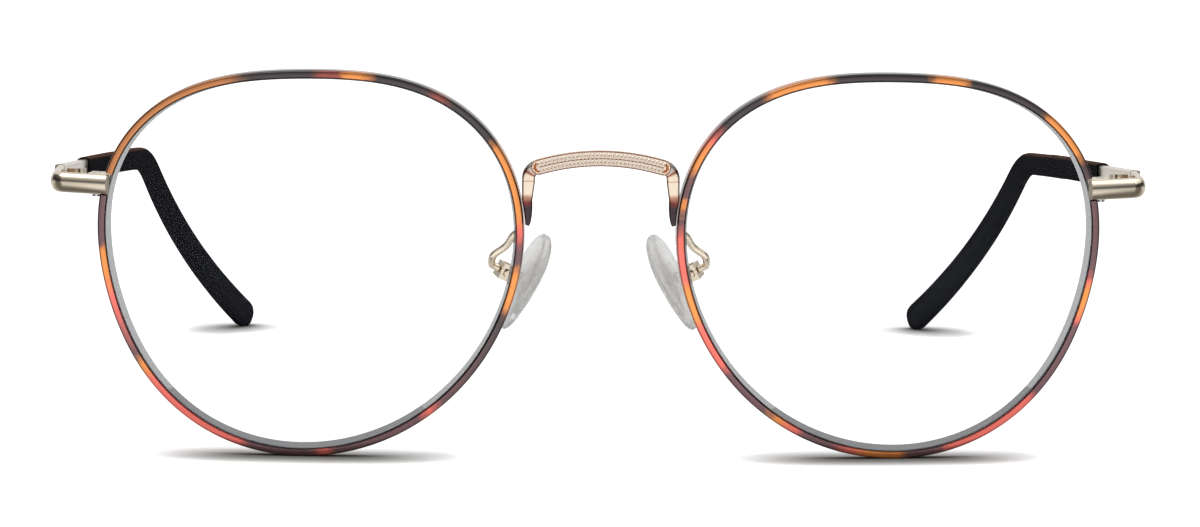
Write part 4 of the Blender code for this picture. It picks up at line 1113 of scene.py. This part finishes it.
class GLASSES_OT_bridge(bpy.types.Operator):
    """The bridge's strap and legs with its beaded band"""
    bl_idname = "glasses.bridge"
    bl_label = "Bridge"

    def execute(self, context):
        bridge = sizes().bridge
        reach_out = bridge.band_half - bridge.band_height / 2

        def finish(name, work, material, nodes=(), sharp=40):
            finish_piece(name, work, front_matrix(), "front", [material], nodes, sharp)

        path = bridge_path()
        reach = [0.0]
        for (x0, z0, _), (x1, z1, _) in zip(path, path[1:]):
            reach.append(reach[-1] + math.hypot(x1 - x0, z1 - z0))
        rings, along = [], []
        for index, (x, z, width) in enumerate(path):
            before, after = neighbours(path, index)
            line = Vector((after[0] - before[0], after[1] - before[1])).normalized()
            rounding = min(bridge.rounding, width * LEG_ROUNDING_SHARE)
            section = rounded_section(width / 2, bridge.depth / 2, rounding, 4)
            rings.append([
                Vector((x - line.y * across, bridge.setback + deep, z + line.x * across))
                for across, deep in section
            ])
            along.append(min(reach[index], reach[-1] - reach[index]) / reach[LEG_STEPS + CORNER_STEPS])
        finish("bridge_strap", loft(rings, arc_shares(section), along), bridge_material(), ["bridge"])

        outline = band_outline(bridge.band_height / 2, bridge.band_half)
        depths = (band_face() + bridge.band_thickness + bridge.rounding, band_face())
        rings = [[Vector((x, depth, z)) for x, z in outline] for depth in depths]
        ground = plating("bead_ground", "bead_floor", 0.25)
        finish("bridge_band", loft(rings, arc_shares(outline), [0, 1]), ground)

        bead = plating("bead_gold", "bead", 0.45, 0.35)
        # Painted shade: an orange-tan mark leaning through each bead; the curls at the band's ends take the same
        # colour
        mark = plating("bead_mark", "mark", 0.30)
        pitch = 2 * reach_out / (bridge.bead_count - 1)
        row_height = bridge.band_height / 2 - 2 * bridge.border

        def row(points, beads, shares, lean, material):
            along, deep, high, tilt = shares
            size = (pitch * along, bridge.bead_proud * deep, bridge.bead_height * high)
            return grow_along(points, "bead_row", bead_tree, {
                "Count": beads, "Bead Size": size, "Tilt": lean * bridge.bead_tilt * tilt,
                "Material": material,
            })

        rows, shade_and_curl_marks = [], []
        for side in (1, -1):
            points = band_line(side * (row_height / 2 + bridge.ridge / 2), reach_out)
            rows.append(row(points, bridge.bead_count, BEAD_SHARES, side, bead))
            shade_and_curl_marks.append(row(points, bridge.bead_count, SHADE_MARK_SHARES, side, mark))
        for side in (1, -1):
            steps = range(1, BAND_END_STEPS)
            turns = [math.pi / 2 - side * math.pi * step / BAND_END_STEPS for step in steps]
            spots = [band_spot(side * reach_out, row_height * CURL_REACH_SHARE, angle) for angle in turns]
            shade_and_curl_marks.append(row(on_band(spots), CURL_BEADS, CURL_SHARES, side, mark))
        finish("bridge_beads", joined(rows), bead, sharp=70)
        finish("bridge_bead_shade_and_curls", joined(shade_and_curl_marks), mark, sharp=70)

        border = plating("bead_border", "border", 0.18)
        edge = on_band(band_outline(bridge.band_height / 2 - bridge.border, bridge.band_half - bridge.border))
        lines = (
            (edge + edge[:2], bridge.border, BORDER_SIDES),
            (band_line(0, reach_out), bridge.ridge, RIDGE_SIDES),
        )
        trim = joined([
            grow_along(points, "wire", wire_tree, {"Radius": radius, "Sides": sides, "Material": border})
            for points, radius, sides in lines
        ])
        finish("bridge_trim", trim, border, sharp=60)
        return {"FINISHED"}


def rounded_corner(start, corner, end, radius, steps=16):
    """A path of two straight runs joined by an arc of the radius."""
    inward, outward = (start - corner).normalized(), (end - corner).normalized()
    half_angle = inward.angle(outward) / 2
    centre = corner + (inward + outward).normalized() * radius / math.sin(half_angle)
    first = corner + inward * radius / math.tan(half_angle)
    last = corner + outward * radius / math.tan(half_angle)
    first_spoke, last_spoke = (first - centre).normalized(), (last - centre).normalized()
    arc = [centre + first_spoke.slerp(last_spoke, step / steps) * radius for step in range(steps + 1)]
    return [start, *arc, end]


def lock_matrix():
    """The rim lock's frame inside the front frame, on the endpiece's back face."""
    lens, rim, bar = sizes().lens, sizes().rim, sizes().bar
    edge = outline_point(temple_side_angle(bar_level()))
    place = eye_matrix() @ Vector((edge.x, edge.y, lens_middle(edge.x, edge.y)))
    angle = lens.wrap + math.atan2(edge.x, lens.front_radius)
    forward = rim.depth / 2 + bar.proud - bar.thickness
    step = Vector((math.sin(angle), -math.cos(angle), 0)) * forward
    return Matrix.Translation(place + step) @ Matrix.Rotation(angle, 4, "Z")


def hinge_matrix():
    """The left hinge's frame in the world, from its joint: Z up the pin, Y back along the temple."""
    joint = joint_named("left_temple_fold")
    axis = Vector(joint["axis"])
    if axis.z < 0:
        axis.negate()
    lean = math.atan2(-axis.y, axis.z)
    return Matrix.Translation(Vector(joint["pos_m"])) @ Matrix.Rotation(lean, 4, "X")


class GLASSES_OT_endpieces(bpy.types.Operator):
    """The bars that turn the corner from the rims to the hinges"""
    bl_idname = "glasses.endpieces"
    bl_label = "Endpieces"

    def execute(self, context):
        lens, bar = sizes().lens, sizes().bar
        place = front_matrix()
        to_front = lock_matrix()
        start = to_front @ Vector((-bar.overlap, -bar.thickness / 2, 0))
        ahead = to_front.to_3x3() @ Vector((1, 0, 0))
        side_x = lens.spacing / 2 + lens.width + bar.reach - bar.thickness / 2
        corner = start + ahead * (side_x - start.x) / ahead.x
        hinge = place.inverted() @ hinge_matrix().translation
        end = Vector((side_x, hinge.y - bar.butt_gap, start.z))
        path = rounded_corner(start, corner, end, bar.corner)
        section = crowned_section(
            bar.thickness / 2, bar.height / 2, bar.crown, bar.roll_off, bar.rounding / 3,
        )
        rings = []
        for index, point in enumerate(path):
            before, after = neighbours(path, index)
            outward = (after - before).normalized().cross(UP)
            rings.append([point + outward * across + UP * up for across, up in section])
        finish_pair(
            "endpiece_bar", lambda: loft(rings, arc_shares(section), even(len(path))), place,
            "front", [pale_gold()], "endpiece",
        )
        return {"FINISHED"}


def plate_x():
    """Where the hinge leaves' outer faces lie in the hinge frame."""
    side_x = sizes().lens.spacing / 2 + sizes().lens.width + sizes().bar.reach
    pin_x = (front_matrix().inverted() @ hinge_matrix().translation).x
    return side_x - sizes().bar.thickness - sizes().rim.gap - pin_x


def temple_point(distance):
    """The temple's middle line at a distance along it from the hinge, in the hinge frame."""
    bar, start = sizes().bar, sizes().sleeve.start
    arc = bar.drop_radius * bar.drop_angle
    on_arc = min(max(distance - bar.drop_start, 0.0), arc) / bar.drop_radius
    straight = max(distance - bar.drop_start - arc, 0.0)
    back = (
        min(distance, bar.drop_start)
        + bar.drop_radius * math.sin(on_arc)
        + straight * math.cos(bar.drop_angle)
    )
    down = bar.drop_radius * (1 - math.cos(on_arc)) + straight * math.sin(bar.drop_angle)
    past = max(distance - start, 0.0) / (bar.temple_length - start)
    centre = plate_x() + sizes().rim.gap + bar.thickness / 2
    return Vector((centre - bar.inset * past ** bar.inset_power, back, -down))


def temple_ring(distance, section):
    """A section set square to the temple's line, its first coordinate outwards, its second up."""
    here = temple_point(distance)
    along = (temple_point(distance + LINE_STEP) - temple_point(distance - LINE_STEP)).normalized()
    outward = along.cross(UP).normalized()
    upward = outward.cross(along)
    return [here + outward * across + upward * up for across, up in section]


def core_section(distance):
    """The bar's section, which thins to the core wire inside the sleeve."""
    bar = sizes().bar
    part = min(max((distance - sizes().sleeve.start + sizes().rim.gap) / bar.core_taper, 0.0), 1.0)
    width = bar.thickness + part * (bar.core_width - bar.thickness)
    height = bar.height + part * (bar.core_width - bar.height)
    return rounded_section(width / 2, height / 2, TEMPLE_ROUNDING)


def sleeve_section(distance):
    """The sleeve's oval section, which grows to the tip and is rounded off at its end."""
    bar, sleeve = sizes().bar, sizes().sleeve
    front = (sleeve.start, sleeve.front_width, sleeve.front_height)
    drop = (bar.drop_start, sleeve.drop_width, sleeve.drop_height)
    tip = (bar.temple_length, sleeve.tip_width, sleeve.tip_height)
    first, last = (front, drop) if distance < bar.drop_start else (drop, tip)
    part = (distance - first[0]) / (last[0] - first[0])
    width, height = (low + part * (high - low) for low, high in zip(first[1:], last[1:]))
    past = max(0.0, distance - (bar.temple_length - sleeve.end_round)) / sleeve.end_round
    return oval(width / 2, height / 2, SLEEVE_POWER, math.sqrt(max(0.0, 1 - past ** 2)))


def oval(half_width, half_height, power, shrink=1.0):
    """A squarish oval as (across, up) pairs."""
    points = []
    total = sizes().sleeve.points
    for step in range(total):
        angle = FULL_TURN * (step + 0.5) / total
        across, up = math.cos(angle), math.sin(angle)
        squareness = (abs(across) ** power + abs(up) ** power) ** (1 / power)
        points.append((half_width * across / squareness * shrink, half_height * up / squareness * shrink))
    return points


class GLASSES_OT_temples(bpy.types.Operator):
    """The metal temples with the core wires inside their sleeves"""
    bl_idname = "glasses.temples"
    bl_label = "Temples"

    def execute(self, context):
        bar, sleeve, gap = sizes().bar, sizes().sleeve, sizes().rim.gap
        end = bar.temple_length - bar.core_margin
        spots = [gap, sleeve.start / 2, sleeve.start - gap]
        spots += [sleeve.start + bar.core_taper * step / TAPER_STEPS for step in range(1, TAPER_STEPS + 1)]
        thin = spots[-1]
        spots += [thin + (end - thin) * step / CORE_STEPS for step in range(1, CORE_STEPS + 1)]
        rings = [temple_ring(spot, core_section(spot)) for spot in spots]
        around, along = arc_shares(core_section(0)), [spot / end for spot in spots]
        finish_pair(
            "temple_bar", lambda: loft(rings, around, along), hinge_matrix(),
            "temple", [pale_gold()], "temple",
        )
        return {"FINISHED"}


class GLASSES_OT_sleeves(bpy.types.Operator):
    """The acetate sleeves that end in the bend behind the ear"""
    bl_idname = "glasses.sleeves"
    bl_label = "Temple Sleeves"

    def execute(self, context):
        bar, sleeve, gap = sizes().bar, sizes().sleeve, sizes().rim.gap
        last = bar.temple_length - sleeve.end_round
        run = last - sleeve.start
        spots = [sleeve.start + run * step / sleeve.steps for step in range(sleeve.steps + 1)]
        spots += [
            last + sleeve.end_round * math.sin(math.pi / 2 * step / TIP_STEPS)
            for step in range(1, TIP_STEPS)
        ]
        mouth = oval(bar.thickness / 2 + gap, bar.height / 2 + gap, MOUTH_POWER)
        first = sleeve_section(sleeve.start)
        rings = [
            temple_ring(sleeve.start + sleeve.mouth, mouth),
            temple_ring(sleeve.start, mouth),
            temple_ring(sleeve.start, [(x * MOUTH_EDGE_SHARE, y * MOUTH_EDGE_SHARE) for x, y in first]),
            temple_ring(sleeve.start + gap, first),
        ]
        rings += [temple_ring(spot, sleeve_section(spot)) for spot in spots[1:]]
        finish_pair(
            "sleeve", lambda: loft(rings, arc_shares(first), even(len(rings))), hinge_matrix(),
            "temple", [acetate()], "temple_sleeve",
        )
        return {"FINISHED"}


def pad_matrix():
    """The left pad's frame in the world, from its joint: X away from the nose, Z up the pad."""
    pad = sizes().pad
    joint = joint_named("left_pad_rock")
    lean = front_matrix().to_3x3().to_4x4()
    turned = Matrix.Rotation(-pad.splay, 4, "Z") @ Matrix.Rotation(-pad.slant, 4, "Y")
    return Matrix.Translation(Vector(joint["pos_m"])) @ lean @ turned


def smooth_table(table, part):
    """A value between the entries of an evenly spaced table, on a smooth curve through them."""
    place = part * (len(table) - 1)
    index = min(int(place), len(table) - 2)
    first = table[max(index - 1, 0)]
    second, third = table[index], table[index + 1]
    fourth = table[min(index + 2, len(table) - 1)]
    return smooth_between(first, second, third, fourth, place - index)


def smooth_between(first, second, third, fourth, part):
    """A point between the two middle values of a smooth curve through all four."""
    return 0.5 * (
        2 * second
        + (third - first) * part
        + (2 * first - 5 * second + 4 * third - fourth) * part ** 2
        + (3 * second - first - 3 * third + fourth) * part ** 3
    )


class GLASSES_OT_pads(bpy.types.Operator):
    """The clear silicone nose pads"""
    bl_idname = "glasses.pads"
    bl_label = "Nose Pads"

    def execute(self, context):
        pad = sizes().pad
        levels = [
            (smooth_table(PAD_OUTLINE_SHARES, part), smooth_table(PAD_DEPTH_SHARES, part))
            for part in even(PAD_STEPS + 1)
        ]
        for step in range(1, PAD_CLOSE_RINGS + 1):
            closed = 1 - step / PAD_CLOSE_STEPS
            deep = 1 - (1 - PAD_DEPTH_SHARES[-1]) * closed ** 2
            levels.append((PAD_OUTLINE_SHARES[-1] * closed, deep))
        rings = []
        for across, deep in levels:
            ring = []
            for index in range(PAD_POINTS):
                angle = FULL_TURN * index / PAD_POINTS
                up = math.sin(angle)
                ring.append(Vector((
                    -pad.standoff - deep * pad.thickness,
                    math.cos(angle) * pad.width / 2 * across * (1 + pad.narrowing * up),
                    up * pad.length / 2 * across - pad.drop,
                )))
            rings.append(ring)
        pads = finish_pair(
            "pad_silicone", lambda: loft(rings, even(PAD_POINTS + 1), even(len(rings))), pad_matrix(),
            "pad", [silicone()], "nose_pad", 50,
        )
        return {"FINISHED"}


class GLASSES_OT_pad_arms(bpy.types.Operator):
    """The looped wire arms between the rims and the pad boxes"""
    bl_idname = "glasses.pad_arms"
    bl_label = "Pad Arms"

    def execute(self, context):
        pad, rim = sizes().pad, sizes().rim
        foot = outline_point(nose_side_angle(pad.foot_level), (rim.lip - rim.wall) / 2)
        back = lens_middle(foot.x, foot.y) - rim.depth / 2 - rim.gap
        place = front_matrix()
        start = eye_matrix() @ Vector((foot.x, foot.y, back))
        pivot = place.inverted() @ pad_matrix()
        seat = pad.box_reach + rim.gap
        end = pivot @ Vector((seat, 0, 0))
        before_end = pivot @ Vector((seat + 2 * pad.wire_radius, 0, 0))
        behind = start + Vector((0, 2 * pad.wire_radius, 0))
        way = pivot.translation + Vector((pad.loop_width, 0, 0)) - start
        route = [start + way * Vector(shares) for shares in ARM_ROUTE_SHARES]
        knots = [start, behind, *route, before_end, end]
        points = [start]
        for index in range(1, len(knots) - 2):
            for step in range(ARM_STEPS):
                points.append(smooth_between(*knots[index - 1:index + 3], step / ARM_STEPS))
        points += [before_end, end]
        values = {"Radius": pad.wire_radius, "Sides": ARM_SIDES, "Material": pale_gold()}
        finish_pair(
            "pad_wire", lambda: joined([grow_along(points, "wire", wire_tree, values)]), place,
            "front", [pale_gold()], "pad_arm",
        )
        return {"FINISHED"}


class GLASSES_OT_fittings(bpy.types.Operator):
    """Materials of the screws, locks, hinges, pad boxes and pad cores"""
    bl_idname = "glasses.fittings"
    bl_label = "Fittings"

    def execute(self, context):
        finishes = {
            "rim_lock_upper": pale_gold, "rim_lock_lower": pale_gold, "rim_lock_screw": steel,
            "hinge_front_leaf": pale_gold, "hinge_temple_leaf": pale_gold, "hinge_screw": steel,
            "pad_box": pale_gold, "pad_screw": pale_gold, "pad_insert": pad_core,
        }
        for side in ("left_", "right_"):
            for kind, finish in finishes.items():
                node = frame["nodes"][side + kind]
                if not node.material_slots:
                    node.data.materials.append(finish())
                for slot in node.material_slots:
                    slot.material = finish()
        return {"FINISHED"}


def sight(tree):
    """The kinds of ray, and 1 where the camera looks straight at a place or through glass."""
    rays = add_node(tree, "ShaderNodeLightPath").outputs
    return rays, largest(tree, rays["Is Camera Ray"], rays["Is Transmission Ray"])


def stage_material():
    """A white floor with a painted contact shadow near the object, painted shade in mirrors just in front, and
    dark cards beside the front in mirrors.
    """
    colors = sizes().colors
    material = new_material(
        "pale_floor", colors.floor, 0.0, 0.9, specular_ior_level=0.0, emission_color=(1, 1, 1, 1),
    )
    tree = material.node_tree
    rays, seen = sight(tree)
    aside, back, _ = coordinates(tree, "Object")
    # Painted contact shadow: occlusion darkens the floor's glow and colour near the glasses
    nearness = add_node(tree, "ShaderNodeAmbientOcclusion", {"Distance": CONTACT_SHADOW_REACH}).outputs["AO"]
    contact_shadow = math_node(tree, "POWER", nearness, CONTACT_SHADOW_POWER)
    glow = product(tree, seen, ranged(tree, back, 100 * MM, 500 * MM, 0.55, 1.0))
    ahead = largest(tree, math_node(tree, "SUBTRACT", -CARD_CORNER[1], back), MM)
    past_corner = math_node(tree, "SUBTRACT", aside, CARD_CORNER[0])
    spread = ranged(tree, math_node(tree, "DIVIDE", past_corner, ahead), 1.0, 1.4)
    card = product(tree, spread, ranged(tree, back, -70 * MM, 0.0, 1.0, 0.0))
    near = ranged(tree, back, -420 * MM, -60 * MM)
    # Painted shade: mirrors see the floor dimmer just in front of the rims
    close = ranged(tree, back, -140 * MM, -80 * MM, 1.0, 0.15)
    beside = ranged(tree, aside, 75 * MM, 150 * MM, 1.0, 0.25)
    uncarded = math_node(tree, "SUBTRACT", 1.0, card)
    mirrored = product(tree, near, close, beside, uncarded, rays["Is Glossy Ray"])
    hidden = product(tree, card, rays["Is Glossy Ray"])
    bare = product(tree, math_node(tree, "SUBTRACT", 1.0, hidden), contact_shadow)
    feed(
        material, emission_strength=product(tree, largest(tree, glow, mirrored), contact_shadow),
        base_color=mixed(tree, bare, (*colors.card, 1), (*colors.floor, 1)),
    )
    return material


def build_world():
    """Soft light all round: white to the camera, in mirrors bright above and dim low down and aside."""
    world = bpy.data.worlds.new("soft_tent")
    world.use_nodes = True
    tree = world.node_tree
    tree.nodes.clear()
    rays, white = sight(tree)
    aside, back, up = coordinates(tree, "Generated")
    above = ranged(tree, up, 0.15, 0.55, 0.22, 1.0, "SMOOTHSTEP")
    behind = ranged(tree, back, 0.2, 0.6, kind="SMOOTHSTEP")
    beside = ranged(tree, aside, 0.66, 0.82, 1.0, 0.16)
    square_on = ranged(tree, aside, 0.94, 1.0, 0.0, 0.25)
    mirror = product(tree, largest(tree, above, behind), largest(tree, beside, square_on))
    glossy = product(tree, mirror, rays["Is Glossy Ray"])
    diffuse = product(tree, rays["Is Diffuse Ray"], 0.55)
    light = add_node(tree, "ShaderNodeBackground", {"Strength": largest(tree, white, glossy, diffuse)})
    add_node(tree, "ShaderNodeOutputWorld", {"Surface": light.outputs["Background"]})
    bpy.context.scene.world = world


def add_lamp(name, place, size, power):
    """A soft square lamp that faces the glasses."""
    lamp = bpy.data.lights.new(name, "AREA")
    lamp.shape = "SQUARE"
    lamp.size = size
    lamp.energy = power
    made = add_object(name, lamp)
    made.location = place
    made.rotation_euler = (LAMP_TARGET - Vector(place)).to_track_quat("-Z", "Y").to_euler()


class GLASSES_OT_stage(bpy.types.Operator):
    """The floor, the lights and the camera"""
    bl_idname = "glasses.stage"
    bl_label = "Stage"

    def execute(self, context):
        scene = context.scene
        scene.view_settings.view_transform = "Standard"
        mesh = bpy.data.meshes.new("floor")
        corners = ((-1, -1), (1, -1), (1, 1), (-1, 1))
        mesh.from_pydata([(x * FLOOR_HALF, y * FLOOR_HALF, 0) for x, y in corners], [], [(0, 1, 2, 3)])
        mesh.materials.append(stage_material())
        floor = add_object("floor", mesh)
        build_world()
        for lamp in LAMPS:
            add_lamp(*lamp)
        azimuth, pitch, roll = CAMERA_TURNS
        forward = Vector((
            math.sin(azimuth) * math.cos(pitch), math.cos(azimuth) * math.cos(pitch), -math.sin(pitch),
        ))
        data = bpy.data.cameras.new("camera")
        data.sensor_width = CAMERA_SENSOR
        data.lens = CAMERA_LENS
        data.clip_start, data.clip_end = CAMERA_CLIP
        camera = add_object("camera", data)
        place = Matrix.Translation(CAMERA_TARGET - CAMERA_DISTANCE * forward)
        turned = Matrix.Rotation(-azimuth, 4, "Z") @ Matrix.Rotation(math.pi / 2 - pitch, 4, "X")
        camera.matrix_world = place @ turned @ Matrix.Rotation(roll, 4, "Z")
        scene.camera = camera
        return {"FINISHED"}


class GLASSES_PT_panel(bpy.types.Panel):
    """Builds the glasses piece by piece"""
    bl_idname = "GLASSES_PT_panel"
    bl_label = "Reading Glasses"
    bl_space_type = "VIEW_3D"
    bl_region_type = "UI"
    bl_category = "Glasses"

    def draw(self, context):
        for operator in OPERATORS:
            self.layout.operator(operator.bl_idname)


OPERATORS = (
    GLASSES_OT_rims, GLASSES_OT_lenses, GLASSES_OT_bridge, GLASSES_OT_endpieces, GLASSES_OT_temples,
    GLASSES_OT_sleeves, GLASSES_OT_pads, GLASSES_OT_pad_arms, GLASSES_OT_fittings, GLASSES_OT_stage,
)
GROUPS = (
    LensSizes, RimSizes, BridgeSizes, BarSizes, SleeveSizes, PadSizes, GlassesColors, GlassesSizes,
)


def register():
    """Add the classes, and the sizes and colours to the scene."""
    for item in (*GROUPS, *OPERATORS, GLASSES_PT_panel):
        bpy.utils.register_class(item)
    bpy.types.Scene.reading_glasses = PointerProperty(type=GlassesSizes)


def unregister():
    """Remove the classes again."""
    del bpy.types.Scene.reading_glasses
    for item in reversed((*GROUPS, *OPERATORS, GLASSES_PT_panel)):
        bpy.utils.unregister_class(item)


def main():
    """Register the add-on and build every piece."""
    register()
    for operator in OPERATORS:
        group, name = operator.bl_idname.split(".")
        getattr(getattr(bpy.ops, group), name)()


if __name__ == "__main__":
    main()
